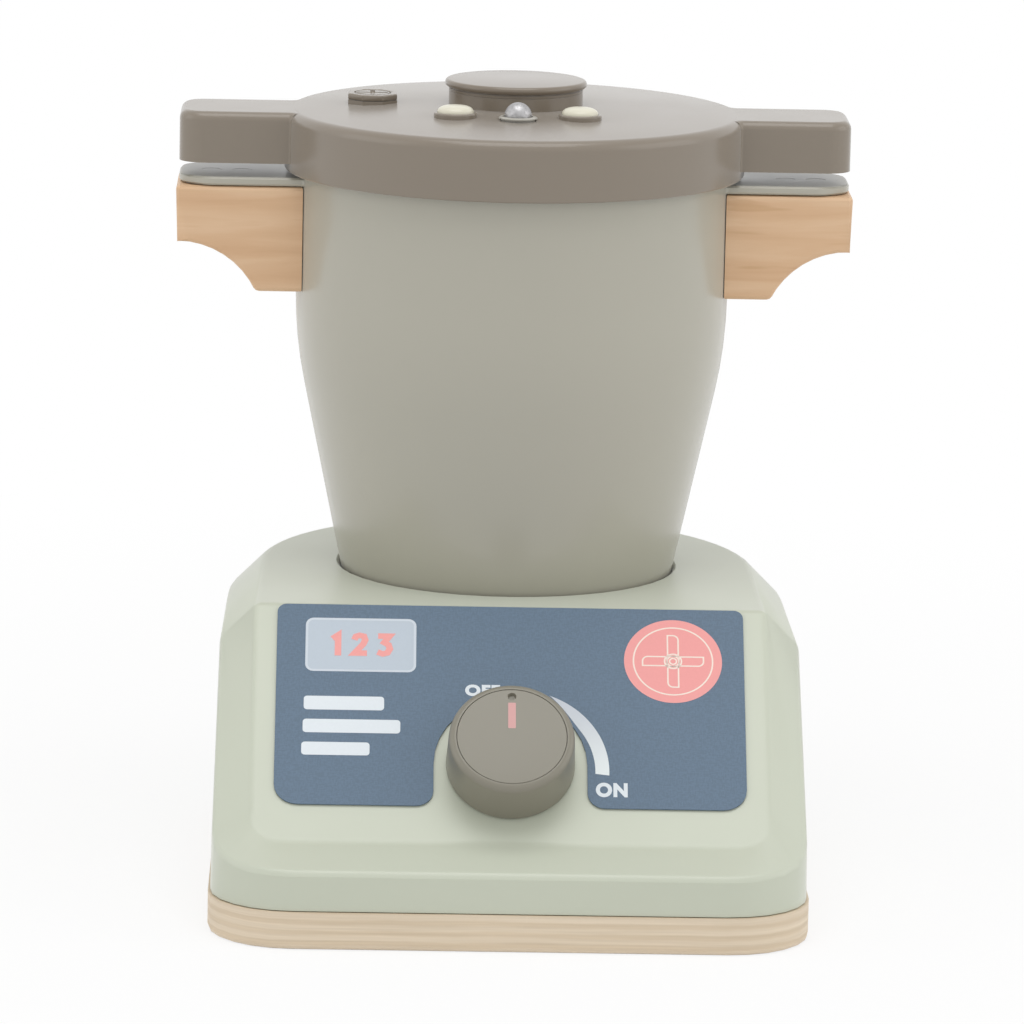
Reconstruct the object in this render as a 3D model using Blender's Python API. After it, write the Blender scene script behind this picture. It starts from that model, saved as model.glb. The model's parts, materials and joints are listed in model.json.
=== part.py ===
"""Toy food processor: a plywood-based body with a click knob, a lift-out pot with wooden handles
and a mixing rotor, and a lid with a filler cap, two sprung buttons, a sprung valve and a vent dial.

Metres, +Z up, front towards -Y. The origin is on the pot's axis, at the board's underside.
"""

import math

import bmesh
import bpy
from mathutils import Matrix, Vector

# Clearances and cutters
GAP = 0.0003
OVERRUN = 0.002
WELD = 0.000001

# Driving dimensions of the body
BODY_HALF_WIDTH = 0.0944
BACK_NARROWING = 0.001
BODY_FRONT_REACH = 0.152
BODY_CORNER_RADIUS = 0.0265
BOARD_THICKNESS = 0.012
PLATEAU_HEIGHT = 0.0928
PANEL_EDGE_REACH = 0.0717
PANEL_LENGTH = 0.0885
PANEL_ANGLE = math.radians(45)
RECESS_DEPTH = 0.014

# Driving dimensions of the pot and the lid
POT_RADIUS = 0.0707
POT_HEIGHT = 0.1579
POT_WALL = 0.0024
LID_CLEARANCE = 0.0019
LID_WALL = 0.0024
EAR_REACH = 0.109
EAR_HALF_WIDTH = 0.0175
FITTING_RADIUS = 0.0373
FITTING_ANGLE = math.radians(32.4)

# Board
BOARD_BOTTOM_ROUND = 0.0015

# Housing
HOUSING_SETBACK = 0.0007
HOUSING_DRAFT_INSET = 0.001
HOUSING_CHAMFER = 0.0115
HOUSING_WALL = 0.0026
HOUSING_FILLET = 0.0015
PANEL_CORNER_RADIUS = 0.009
FRONT_RIM_HEIGHT = 0.0247
CORNER_RIM_RISE = 0.0063
RECESS_ROUND = 0.0008
RECESS_CLEARANCE = 0.0005
BACK_STEPS = 34
CORNER_STEPS = 6

# Base screws and their bosses
SCREW_BOSS_RADIUS = 0.0042
BASE_SCREW_RADIUS = 0.0016
BASE_SCREW_HEAD_RADIUS = 0.0036
BASE_SCREW_HEAD_HEIGHT = 0.0024
BASE_SCREW_LENGTH = 0.025
BASE_SCREW_SINK = 0.0006
SIDE_BOSS_REACH = 0.030
SIDE_BOSS_OFFSET = 0.078
FRONT_BOSS_REACH = 0.114
FRONT_BOSS_OFFSET = 0.067
REAR_BOSS_RADIUS = 0.074
REAR_BOSS_ANGLE = math.radians(50)

# Label on the panel
LABEL_THICKNESS = 0.0004
LABEL_HALF_WIDTH = 0.0743
LABEL_TOP_MARGIN = 0.0005
LABEL_LENGTH = 0.0746
LABEL_TOP_ROUND = 0.003
LABEL_BOTTOM_ROUND = 0.0075
LABEL_NOTCH_HALF_WIDTH = 0.0242
LABEL_NOTCH_ROUND = 0.0055

# Knob and its click mechanism
KNOB_SLOPE_DISTANCE = 0.0592
KNOB_RADIUS = 0.0203
KNOB_HEIGHT = 0.017
KNOB_TAPER = 0.0005
KNOB_EDGE_ROUND = 0.0024
KNOB_FLOAT = 0.0006
KNOB_SKIRT = 0.0034
KNOB_HOLLOW_HEIGHT = 0.0065
KNOB_BOSS_RADIUS = 0.006
KNOB_BORE_TOP = 0.0125
KNOB_CAP_RADIUS = 0.0172
KNOB_CAP_THICKNESS = 0.0016
KNOB_CAP_EDGE = 0.0003
POINTER_WIDTH = 0.0021
POINTER_LENGTH = 0.0092
POINTER_INNER_RADIUS = 0.0031
POINTER_DEPTH = 0.0008
DIMPLE_RADIUS = 0.0015
DIMPLE_OFFSET = 0.0147
DIMPLE_DEPTH = 0.0011
SPINDLE_RADIUS = 0.003
SPINDLE_FLAT_DEPTH = 0.0008
SPINDLE_GROOVE_RADIUS = 0.0024
SPINDLE_TAIL = 0.0012
BUSH_RADIUS = 0.0045
BUSH_PLATE_THICKNESS = 0.0015
BUSH_PLATE_HALF_WIDTH = 0.0145
BUSH_PLATE_LOW = 0.0145
BUSH_PLATE_HIGH = 0.0135
BUSH_PLATE_ROUND = 0.003
NUT_HALF_FLATS = 0.0065
NUT_HEIGHT = 0.002
DETENT_RADIUS = 0.009
DETENT_NOTCH_DEPTH = 0.0007
DETENT_NOTCHES = 20
DETENT_THICKNESS = 0.002
DETENT_LUG_REACH = 0.0125
DETENT_LUG_HALF_WIDTH = 0.0015
KNOB_TRAVEL = math.radians(90)
STOP_POST_RADIUS = 0.001
SPRING_POST_OFFSET = 0.0105
SPRING_POST_HALF_LENGTH = 0.0012
SPRING_LEAF_THICKNESS = 0.0004
SPRING_LEAF_WIDTH = 0.0016
SPRING_NOSE_HALF_WIDTH = 0.0015
SPRING_NOSE_HEIGHT = 0.0012
CLIP_THICKNESS = 0.0008
CLIP_WIDTH = 0.0021
CLIP_OPENING = math.radians(70)

# Pot
POT_TAPER = math.radians(11.97)
POT_BLEND_RADIUS = 0.142
POT_STRAIGHT_HEIGHT = 0.1033
POT_FOOT_HEIGHT = 0.003
POT_FOOT_WIDTH = 0.006
POT_FOOT_ROUND = 0.002
POT_INNER_ROUND = 0.006
POT_RIM_ROUND = 0.0007
POT_EAR_TOP = 0.1428
POT_EAR_THICKNESS = 0.0027
POT_EAR_TIP_RADIUS = 0.011
POT_EAR_ROUND = 0.0006
EAR_FILLET = 0.0012

# Wooden handle blocks and their screws
HANDLE_HEIGHT = 0.0343
HANDLE_OVERHANG = 0.0008
HANDLE_END_HEIGHT = 0.0182
HANDLE_END_TAPER = 0.0006
HANDLE_SCOOP_INSET = 0.0006
HANDLE_FOOT_SHARE = 0.34
HANDLE_ROUND = 0.0012
HANDLE_SCREW_RADIUS = 0.0015
HANDLE_SCREW_HEAD_RADIUS = 0.003
HANDLE_SCREW_HEAD_HEIGHT = 0.0015
HANDLE_SCREW_SINK = 0.0002
HANDLE_SCREW_DEPTH = 0.016
HANDLE_SCREW_SPACING = 0.010
HANDLE_SCREW_PLACE_SHARE = 0.6

# Mixing rotor
PIN_RADIUS = 0.0025
PIN_HEAD_RADIUS = 0.005
PIN_HEAD_HEIGHT = 0.0018
WASHER_RADIUS = 0.0065
WASHER_THICKNESS = 0.0008
HUB_RADIUS = 0.0075
HUB_TOP_RADIUS = 0.006
HUB_HEIGHT = 0.014
BLADE_COUNT = 4
BLADE_TIP_RADIUS = 0.039
BLADE_THICKNESS = 0.0022
BLADE_WIDTH = 0.0115
BLADE_CENTRE_HEIGHT = 0.0065
BLADE_TIP_RISE = 0.0025
BLADE_ROOT_PITCH = math.radians(36)
BLADE_TIP_PITCH = math.radians(14)
BLADE_REACH_SHARES = (0.13, 0.3, 0.55, 0.8, 0.95, 1.0)
BLADE_WIDTH_SHARES = (0.8, 0.92, 1.0, 0.96, 0.82, 0.5)
CAP_NUT_RADIUS = 0.0046
CAP_NUT_HEIGHT = 0.0056
PIN_THREAD_HEIGHT = 0.0036

# Lid
LID_DROP = 0.0195
LID_DOME_RISE = 0.0025
LID_EDGE_ROUND = 0.002
LID_SKIRT_ROUND = 0.0005
LID_EAR_THICKNESS = 0.0165
LID_EAR_TIP_RADIUS = 0.008
LID_EAR_ROUND = 0.0018
LID_EAR_RIB_HALF_THICKNESS = 0.0009
DOME_SHARES = (0.5, 0.75, 1.0)
COLLAR_RADIUS = 0.0218
COLLAR_TOP = 0.0063
COLLAR_ROUND = 0.0005
FILLER_RADIUS = 0.019
FILLER_SLEEVE_DEPTH = 0.006
SEAL_THICKNESS = 0.003
SEAL_WIDTH = 0.0058
SEAL_LIP = 0.0006

# Filler cap
CAP_RADIUS = 0.0231
CAP_DISC_THICKNESS = 0.0037
CAP_WALL = 0.002
CAP_DEPTH = 0.0187
CAP_LEAD_IN = 0.0008

# Buttons
BUTTON_RADIUS = 0.0059
BUTTON_RISE = 0.0022
BUTTON_DOME_FULLNESS = 0.6
BUTTON_WALL = 0.0012
BUTTON_SKIRT = 0.0075
BUTTON_STEM_RADIUS = 0.002
BUTTON_COLLAR_RADIUS = 0.0072
BUTTON_COLLAR_RISE = 0.002
BUTTON_POCKET_DEPTH = 0.0068
BUTTON_POCKET_FLOOR = 0.0018
BUTTON_CUP_WALL = 0.0018
BUTTON_SPRING_RADIUS = 0.0035

# Valve
VALVE_RADIUS = 0.0044
VALVE_REACH = 0.0367
VALVE_CENTRE_RISE = 0.0001
VALVE_STEM_RADIUS = 0.0015
VALVE_RING_RADIUS = 0.0063
VALVE_RING_THICKNESS = 0.0007
VALVE_BARREL_RADIUS = 0.0055
VALVE_BARREL_WALL = 0.0007
VALVE_BARREL_DEPTH = 0.0095
VALVE_BARREL_FLOOR = 0.0014
VALVE_SPRING_RADIUS = 0.0029
VALVE_WIRE_RADIUS = 0.0003

# Springs and clips under the lid
COIL_WIRE_RADIUS = 0.0004
COIL_TURNS = 4
COIL_POINTS = 8
COIL_SIDES = 4
STEM_TAIL = 0.0012
STEM_GROOVE_DEPTH = 0.0004

# Vent dial
DIAL_HALF_FLATS = 0.008
DIAL_HEIGHT = 0.002
DIAL_CHAMFER = 0.0006
DIAL_PAD_RADIUS = 0.0072
DIAL_PAD_RISE = 0.0006
DIAL_STEM_RADIUS = 0.0024
DIAL_X = -0.0466
DIAL_Y = 0.003
DIAL_GROOVE_HALF_WIDTH = 0.0006
DIAL_GROOVE_DEPTH = 0.0004
DIAL_GROOVE_LENGTH_SHARE = 0.62

# Facet counts of the round pieces
LARGE_STEPS = 44
POT_BLEND_STEPS = 4
MEDIUM_STEPS = 28
SMALL_STEPS = 16
TINY_STEPS = 8
HALF_STEP = 0.5
SMOOTH_ANGLE = math.radians(35)

# Heights worked out from the driving dimensions
HOUSING_BOTTOM = BOARD_THICKNESS + GAP
RECESS_FLOOR = PLATEAU_HEIGHT - RECESS_DEPTH
POT_BASE = RECESS_FLOOR + GAP
LID_TOP = POT_BASE + POT_HEIGHT + GAP + SEAL_THICKNESS + GAP + LID_WALL
SHOULDER_HALF_WIDTH = BODY_HALF_WIDTH - HOUSING_SETBACK - HOUSING_DRAFT_INSET
PLATEAU_HALF_WIDTH = SHOULDER_HALF_WIDTH - HOUSING_CHAMFER
LID_RADIUS = POT_RADIUS + LID_CLEARANCE + LID_WALL
LID_FLAT_RADIUS = LID_RADIUS - LID_EDGE_ROUND
LID_INNER_RADIUS = LID_RADIUS - LID_WALL
DECK_UNDERSIDE = -LID_WALL


def make_material(name, colour, roughness, metallic=0.0):
    """A Principled material with the piece's own colour."""
    material = bpy.data.materials.new(name)
    material.use_nodes = True
    shader = material.node_tree.nodes["Principled BSDF"]
    shader.inputs["Base Color"].default_value = (*colour, 1.0)
    shader.inputs["Roughness"].default_value = roughness
    shader.inputs["Metallic"].default_value = metallic
    return material


def add_object(name, bm, material=None, parent=None):
    """Turn a bmesh into a named object, shaded smooth except at its sharp edges."""
    mesh = bpy.data.meshes.new(name)
    bm.to_mesh(mesh)
    bm.free()
    mesh.shade_smooth()
    mesh.set_sharp_from_angle(angle=SMOOTH_ANGLE)
    if material:
        mesh.materials.append(material)
    obj = bpy.data.objects.new(name, mesh)
    bpy.context.scene.collection.objects.link(obj)
    obj.parent = parent
    return obj


def add_cutter(name, bm, parent=None):
    """A hidden shape that only serves a Boolean."""
    obj = add_object(name, bm, parent=parent)
    obj.hide_render = True
    obj.display_type = "WIRE"
    return obj


def add_empty(name, location, rotation=(0, 0, 0), parent=None):
    """An empty on a moving piece's axis."""
    obj = bpy.data.objects.new(name, None)
    obj.location = location
    obj.rotation_euler = rotation
    obj.parent = parent
    bpy.context.scene.collection.objects.link(obj)
    return obj


def combine(target, other, operation):
    """Join another shape to the target, or cut it away."""
    modifier = target.modifiers.new(other.name, "BOOLEAN")
    modifier.operation = operation
    modifier.solver = "EXACT"
    modifier.object = other


def cut(target, name, bm, parent=None):
    combine(target, add_cutter(name, bm, parent), "DIFFERENCE")


def join(target, name, bm, parent=None):
    combine(target, add_cutter(name, bm, parent), "UNION")


def bevel_marked(obj, width, segments):
    """Round only the edges that carry a bevel weight."""
    modifier = obj.modifiers.new("rounded edges", "BEVEL")
    modifier.limit_method = "WEIGHT"
    modifier.width = width
    modifier.segments = segments


def new_bmesh():
    """An empty bmesh whose edges can carry a bevel weight."""
    bm = bmesh.new()
    bm.edges.layers.float.new("bevel_weight_edge")
    return bm


def mark_edges(bm, edges):
    layer = bm.edges.layers.float["bevel_weight_edge"]
    for edge in edges:
        edge[layer] = 1.0


def arc(centre, radius, start, end, steps):
    """Points on an arc, both ends included."""
    points = []
    for step in range(steps + 1):
        angle = start + (end - start) * step / steps
        points.append((centre[0] + radius * math.cos(angle), centre[1] + radius * math.sin(angle)))
    return points


def rounded_polygon(corners, steps):
    """A closed outline whose corners (x, y, radius) are rounded, each by its own radius."""
    outline = []
    for index, (x, y, radius) in enumerate(corners):
        corner = Vector((x, y))
        before = (Vector(corners[index - 1][:2]) - corner).normalized()
        after = (Vector(corners[(index + 1) % len(corners)][:2]) - corner).normalized()
        if radius == 0:
            outline.append((x, y))
            continue
        half = before.angle(after) / 2
        centre = corner + (before + after).normalized() * radius / math.sin(half)
        first = corner + before * radius / math.tan(half) - centre
        last = corner + after * radius / math.tan(half) - centre
        start = math.atan2(first.y, first.x)
        turn = (math.atan2(last.y, last.x) - start + math.pi) % (2 * math.pi) - math.pi
        outline += arc(centre, radius, start, start + turn, steps)
    return outline


def prism(outline, bottom, top, bm=None, marked_top=(), marked_bottom=()):
    """An outline extruded from one height to another, with chosen rim edges marked for rounding."""
    bm = bm or new_bmesh()
    low = [bm.verts.new((x, y, bottom)) for x, y in outline]
    high = [bm.verts.new((x, y, top)) for x, y in outline]
    faces = [bm.faces.new(low), bm.faces.new(high)]
    count = len(outline)
    for index in range(count):
        after = (index + 1) % count
        faces.append(bm.faces.new((low[index], low[after], high[after], high[index])))
    marked = []
    for ring, indices in ((high, marked_top), (low, marked_bottom)):
        marked += [bm.edges.get((ring[index], ring[(index + 1) % count])) for index in indices]
    if marked:
        mark_edges(bm, marked)
    bmesh.ops.recalc_face_normals(bm, faces=faces)
    return bm


def lathe(profile, steps, closed=False, centre=(0, 0), bm=None, lead=0):
    """A profile of (radius, height) turned about a vertical axis.

    The facets' edges start a share of one step, the lead, past +X."""
    bm = bm or new_bmesh()
    start = lead * 2 * math.pi / steps
    verts = []
    for radius, height in profile:
        place = (centre[0] + radius * math.cos(start), centre[1] + radius * math.sin(start), height)
        verts.append(bm.verts.new(place))
    pairs = list(zip(verts, verts[1:]))
    if closed:
        pairs.append((verts[-1], verts[0]))
    edges = [bm.edges.new(pair) for pair in pairs]
    bmesh.ops.spin(bm, geom=verts + edges, axis=(0, 0, 1), cent=(*centre, 0),
                          angle=2 * math.pi, steps=steps, use_merge=True)
    bmesh.ops.remove_doubles(bm, verts=bm.verts, dist=WELD)
    bmesh.ops.recalc_face_normals(bm, faces=bm.faces)
    return bm


def cylinder(radius, bottom, top, steps, centre=(0, 0), bm=None, lead=0):
    return lathe([(0, bottom), (radius, bottom), (radius, top), (0, top)], steps,
                 centre=centre, bm=bm, lead=lead)


def tube(inner, outer, bottom, top, steps, centre=(0, 0)):
    return lathe([(inner, bottom), (outer, bottom), (outer, top), (inner, top)], steps,
                 closed=True, centre=centre)


def loft(rings, bm=None):
    """Bridge matched rings of points and close both ends."""
    bm = bm or new_bmesh()
    loops = [[bm.verts.new(point) for point in ring] for ring in rings]
    faces = [bm.faces.new(loops[0]), bm.faces.new(loops[-1])]
    count = len(loops[0])
    for low, high in zip(loops, loops[1:]):
        for index in range(count):
            after = (index + 1) % count
            faces.append(bm.faces.new((low[index], low[after], high[after], high[index])))
    bmesh.ops.recalc_face_normals(bm, faces=faces)
    return bm


def coil(radius, wire, bottom, top, turns, centre):
    """A round wire wound about a vertical axis, its centreline half a wire inside each end."""
    rings = []
    first = bottom + wire
    last = top - wire
    count = turns * COIL_POINTS
    for step in range(count + 1):
        angle = 2 * math.pi * step / COIL_POINTS
        outward = Vector((math.cos(angle), math.sin(angle), 0))
        middle = Vector((*centre, first + (last - first) * step / count)) + outward * radius
        ring = []
        for side in range(COIL_SIDES):
            turn = 2 * math.pi * side / COIL_SIDES
            ring.append(middle + outward * wire * math.cos(turn) + Vector((0, 0, wire * math.sin(turn))))
        rings.append(ring)
    return loft(rings)


def clip_outline(inner, outer):
    """A C-shaped retaining clip, open towards +X."""
    half = CLIP_OPENING / 2
    outline = arc((0, 0), outer, half, 2 * math.pi - half, TINY_STEPS)
    return outline + arc((0, 0), inner, 2 * math.pi - half, half, TINY_STEPS)


def ear_outline(side, wall_radius, root_radius, tip_radius):
    """An ear's plan, its root inside a round wall, with a small fillet where it leaves the wall.

    The first points run along the free edge from one fillet round the tip to the other."""
    hub = wall_radius + EAR_FILLET
    rise = EAR_HALF_WIDTH + EAR_FILLET
    fillet_x = math.sqrt(hub ** 2 - rise ** 2)
    lean = math.atan2(rise, fillet_x)
    tip = EAR_REACH - tip_radius
    flank = EAR_HALF_WIDTH - tip_radius
    free = arc((fillet_x, -rise), EAR_FILLET, math.pi - lean, math.pi / 2, CORNER_STEPS // 2)
    free += arc((tip, -flank), tip_radius, -math.pi / 2, 0, CORNER_STEPS)
    free += arc((tip, flank), tip_radius, 0, math.pi / 2, CORNER_STEPS)
    free += arc((fillet_x, rise), EAR_FILLET, -math.pi / 2, lean - math.pi, CORNER_STEPS // 2)
    root = arc((0, 0), root_radius, lean, -lean, CORNER_STEPS)
    return [(side * x, y) for x, y in free + root], len(free) - 1


def clear_scene():
    for obj in list(bpy.data.objects):
        bpy.data.objects.remove(obj)


def make_materials():
    colours = {
        "birch_plywood": ((0.68, 0.54, 0.40), 0.6),
        "screw_steel": ((0.5, 0.5, 0.5), 0.35, 1.0),
        "sage_plastic": ((0.57, 0.62, 0.49), 0.35),
        "label_print": ((0.13, 0.18, 0.25), 0.5),
        "taupe_plastic": ((0.25, 0.22, 0.18), 0.4),
        "pink_plastic": ((0.75, 0.33, 0.33), 0.5),
        "brass": ((0.65, 0.5, 0.25), 0.3, 1.0),
        "nylon": ((0.75, 0.74, 0.7), 0.45),
        "pot_plastic": ((0.37, 0.35, 0.28), 0.4),
        "beech": ((0.6, 0.42, 0.25), 0.55),
        "seal_rubber": ((0.6, 0.58, 0.52), 0.7),
        "ivory_plastic": ((0.75, 0.72, 0.6), 0.4),
        "bright_steel": ((0.75, 0.75, 0.75), 0.15, 1.0),
    }
    return {name: make_material(name, *values) for name, values in colours.items()}


def plan_ring(back_half, break_half, front_half, break_reach, corner_radius, front_reach):
    """The body's plan: a half round at the back, straight sides and a front with round corners."""
    corner_x = front_half - corner_radius
    corner_y = corner_radius - front_reach
    points = arc((0, 0), back_half, 0, math.pi, BACK_STEPS)
    points.append((-break_half, -break_reach))
    points += arc((-corner_x, corner_y), corner_radius, math.pi, 1.5 * math.pi, CORNER_STEPS)
    points += arc((corner_x, corner_y), corner_radius, 1.5 * math.pi, 2 * math.pi, CORNER_STEPS)
    points.append((break_half, -break_reach))
    return points


def screw_places():
    """Where the six base screws stand."""
    places = []
    for side in (-1, 1):
        places.append((side * FRONT_BOSS_OFFSET, -FRONT_BOSS_REACH))
        places.append((side * SIDE_BOSS_OFFSET, -SIDE_BOSS_REACH))
        rear_x = REAR_BOSS_RADIUS * math.cos(REAR_BOSS_ANGLE)
        places.append((side * rear_x, REAR_BOSS_RADIUS * math.sin(REAR_BOSS_ANGLE)))
    return places


def build_board(materials):
    outline = plan_ring(BODY_HALF_WIDTH - BACK_NARROWING, BODY_HALF_WIDTH, BODY_HALF_WIDTH,
                        PANEL_EDGE_REACH, BODY_CORNER_RADIUS, BODY_FRONT_REACH)
    bm = prism(outline, 0, BOARD_THICKNESS, marked_bottom=range(len(outline)))
    board = add_object("base_board", bm, materials["birch_plywood"])
    bevel_marked(board, BOARD_BOTTOM_ROUND, 2)
    head_top = BASE_SCREW_SINK + BASE_SCREW_HEAD_HEIGHT
    holes = new_bmesh()
    for place in screw_places():
        lathe([(0, -OVERRUN), (BASE_SCREW_HEAD_RADIUS + GAP, -OVERRUN),
               (BASE_SCREW_HEAD_RADIUS + GAP, BASE_SCREW_SINK), (BASE_SCREW_RADIUS + GAP, head_top + GAP),
               (BASE_SCREW_RADIUS + GAP, BOARD_THICKNESS + OVERRUN), (0, BOARD_THICKNESS + OVERRUN)],
              TINY_STEPS, centre=place, bm=holes)
    cut(board, "board_screw_holes", holes)


def build_base_screws(materials):
    head_top = BASE_SCREW_SINK + BASE_SCREW_HEAD_HEIGHT
    tip = BASE_SCREW_SINK + BASE_SCREW_LENGTH
    for number, place in enumerate(screw_places(), 1):
        bm = lathe([(0, BASE_SCREW_SINK), (BASE_SCREW_HEAD_RADIUS, BASE_SCREW_SINK),
                    (BASE_SCREW_RADIUS, head_top), (BASE_SCREW_RADIUS, tip - BASE_SCREW_RADIUS), (0, tip)],
                   TINY_STEPS)
        screw = add_object(f"base_screw_{number}", bm, materials["screw_steel"])
        screw.location = (*place, 0)


def roof_inset(angle):
    """How far a sloping roof's foot moves, for each unit of wall, when a shell is offset inwards."""
    return math.tan(angle) - 1 / math.cos(angle)


def housing_shape(inset, bottom):
    """The housing's outer form, or the same form drawn in by a wall: three rings lofted together.

    The lowest ring stands on the board, the shoulder ring runs round the foot of the chamfer and
    falls to the front rim, and the crown ring bounds the level plateau and the sloping panel."""
    base_half = BODY_HALF_WIDTH - HOUSING_SETBACK
    base_reach = BODY_FRONT_REACH - HOUSING_SETBACK
    corner_radius = BODY_CORNER_RADIUS - inset
    shoulder_top = PLATEAU_HEIGHT - HOUSING_CHAMFER
    draft = HOUSING_DRAFT_INSET / (shoulder_top - HOUSING_BOTTOM)
    rim_reach = base_reach - draft * (FRONT_RIM_HEIGHT - HOUSING_BOTTOM)
    corner_rim = FRONT_RIM_HEIGHT + CORNER_RIM_RISE
    corner_half = base_half - draft * (corner_rim - HOUSING_BOTTOM)

    crease_reach = PANEL_EDGE_REACH + PANEL_LENGTH * math.cos(PANEL_ANGLE)
    crease_height = PLATEAU_HEIGHT - PANEL_LENGTH * math.sin(PANEL_ANGLE)
    apron_angle = math.atan2(crease_height - FRONT_RIM_HEIGHT, rim_reach - crease_reach)
    panel_normal = Vector((math.sin(PANEL_ANGLE), math.cos(PANEL_ANGLE)))
    apron_normal = Vector((math.sin(apron_angle), math.cos(apron_angle)))
    mitre = (panel_normal + apron_normal) / (1 + panel_normal.dot(apron_normal))

    side_fall = inset * roof_inset(PANEL_ANGLE)
    front_fall = inset * roof_inset(apron_angle)
    edge_reach = PANEL_EDGE_REACH + side_fall
    plateau = PLATEAU_HEIGHT - inset
    crown_half = PLATEAU_HALF_WIDTH + side_fall
    crown_reach = crease_reach - inset * mitre.x
    corner_line = rim_reach - corner_radius - inset

    def shoulder_height(y):
        """The chamfer's foot: level round the back, falling beside the panel, curved at the corners."""
        reach = -y
        if reach <= edge_reach:
            return shoulder_top + side_fall
        if reach <= corner_line:
            share = (reach - edge_reach) / (corner_line - edge_reach)
            return shoulder_top + side_fall + share * (corner_rim - shoulder_top)
        share = (reach - corner_line) / corner_radius
        ease = (1 - min(share, 1)) ** 2
        return FRONT_RIM_HEIGHT + front_fall + ease * (CORNER_RIM_RISE + side_fall - front_fall)

    def crown_height(y):
        return plateau - max(-y - edge_reach, 0) * math.tan(PANEL_ANGLE)

    foot_half = base_half - inset
    break_half = SHOULDER_HALF_WIDTH - inset
    foot = plan_ring(foot_half - BACK_NARROWING, foot_half, foot_half, edge_reach,
                     corner_radius, base_reach - inset)
    shoulder = plan_ring(break_half - BACK_NARROWING, break_half, corner_half - inset, edge_reach,
                         corner_radius, rim_reach - inset)
    crown = plan_ring(crown_half - BACK_NARROWING, crown_half, crown_half, edge_reach,
                      PANEL_CORNER_RADIUS, crown_reach)
    rings = [
        [(x, y, bottom) for x, y in foot],
        [(x, y, shoulder_height(y)) for x, y in shoulder],
        [(x, y, crown_height(y)) for x, y in crown],
    ]

    bm = new_bmesh()
    loops = [[bm.verts.new(point) for point in ring] for ring in rings]
    count = len(foot)
    bm.faces.new(loops[0])
    for low, high in zip(loops, loops[1:]):
        for index in range(count):
            after = (index + 1) % count
            bm.faces.new((low[index], low[after], high[after], high[index]))
    left_break = BACK_STEPS + 1
    bm.faces.new(loops[2][:left_break + 1] + loops[2][-1:])
    bm.faces.new(loops[2][left_break:])
    bmesh.ops.recalc_face_normals(bm, faces=bm.faces)

    marked = [bm.edges.get((loops[2][left_break], loops[2][-1]))]
    for ring in loops[1:]:
        marked += [bm.edges.get((ring[index], ring[(index + 1) % count])) for index in range(count)]
    mark_edges(bm, marked)
    return bm


def pot_radius_at(height):
    """The pot's outer radius above its foot: a cone, a long blend and a straight upper wall."""
    blend_foot = POT_STRAIGHT_HEIGHT - POT_BLEND_RADIUS * math.sin(POT_TAPER)
    if height >= POT_STRAIGHT_HEIGHT:
        return POT_RADIUS
    if height >= blend_foot:
        drop = POT_STRAIGHT_HEIGHT - height
        return POT_RADIUS - POT_BLEND_RADIUS + math.sqrt(POT_BLEND_RADIUS ** 2 - drop ** 2)
    blend_radius = POT_RADIUS - POT_BLEND_RADIUS * (1 - math.cos(POT_TAPER))
    return blend_radius - (blend_foot - height) * math.tan(POT_TAPER)


def recess_radius_at(depth):
    """The recess follows the pot's cone, a clearance outside it."""
    return pot_radius_at(RECESS_DEPTH - GAP - depth) + RECESS_CLEARANCE


def build_housing(materials, panel):
    housing = add_object("base_housing", housing_shape(0, HOUSING_BOTTOM), materials["sage_plastic"])
    bevel_marked(housing, HOUSING_FILLET, 2)

    cavity = add_cutter("housing_cavity", housing_shape(HOUSING_WALL, HOUSING_BOTTOM - OVERRUN))
    mouth = recess_radius_at(0)
    well = lathe([(0, RECESS_FLOOR - HOUSING_WALL), (mouth + HOUSING_WALL, RECESS_FLOOR - HOUSING_WALL),
                  (mouth + HOUSING_WALL, PLATEAU_HEIGHT), (0, PLATEAU_HEIGHT)], LARGE_STEPS)
    cut(cavity, "recess_well", well)
    bosses = new_bmesh()
    for place in screw_places():
        cylinder(SCREW_BOSS_RADIUS, HOUSING_BOTTOM - 2 * OVERRUN, PLATEAU_HEIGHT, TINY_STEPS, place, bosses)
    cut(cavity, "screw_bosses", bosses)
    combine(housing, cavity, "DIFFERENCE")

    recess = lathe([(0, RECESS_FLOOR), (recess_radius_at(RECESS_DEPTH), RECESS_FLOOR),
                    (recess_radius_at(RECESS_ROUND), PLATEAU_HEIGHT - RECESS_ROUND),
                    (mouth + RECESS_ROUND, PLATEAU_HEIGHT),
                    (mouth + RECESS_ROUND, PLATEAU_HEIGHT + OVERRUN),
                    (0, PLATEAU_HEIGHT + OVERRUN)], LARGE_STEPS)
    cut(housing, "pot_recess", recess)

    pilots = new_bmesh()
    pilot_top = BASE_SCREW_SINK + BASE_SCREW_LENGTH + GAP
    for place in screw_places():
        cylinder(BASE_SCREW_RADIUS + GAP, HOUSING_BOTTOM - OVERRUN, pilot_top, TINY_STEPS, place, pilots)
    cut(housing, "screw_pilots", pilots)

    bush_hole = cylinder(BUSH_RADIUS + GAP, -HOUSING_WALL - OVERRUN, OVERRUN, SMALL_STEPS,
                         (0, -KNOB_SLOPE_DISTANCE))
    cut(housing, "bush_hole", bush_hole, panel)


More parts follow.
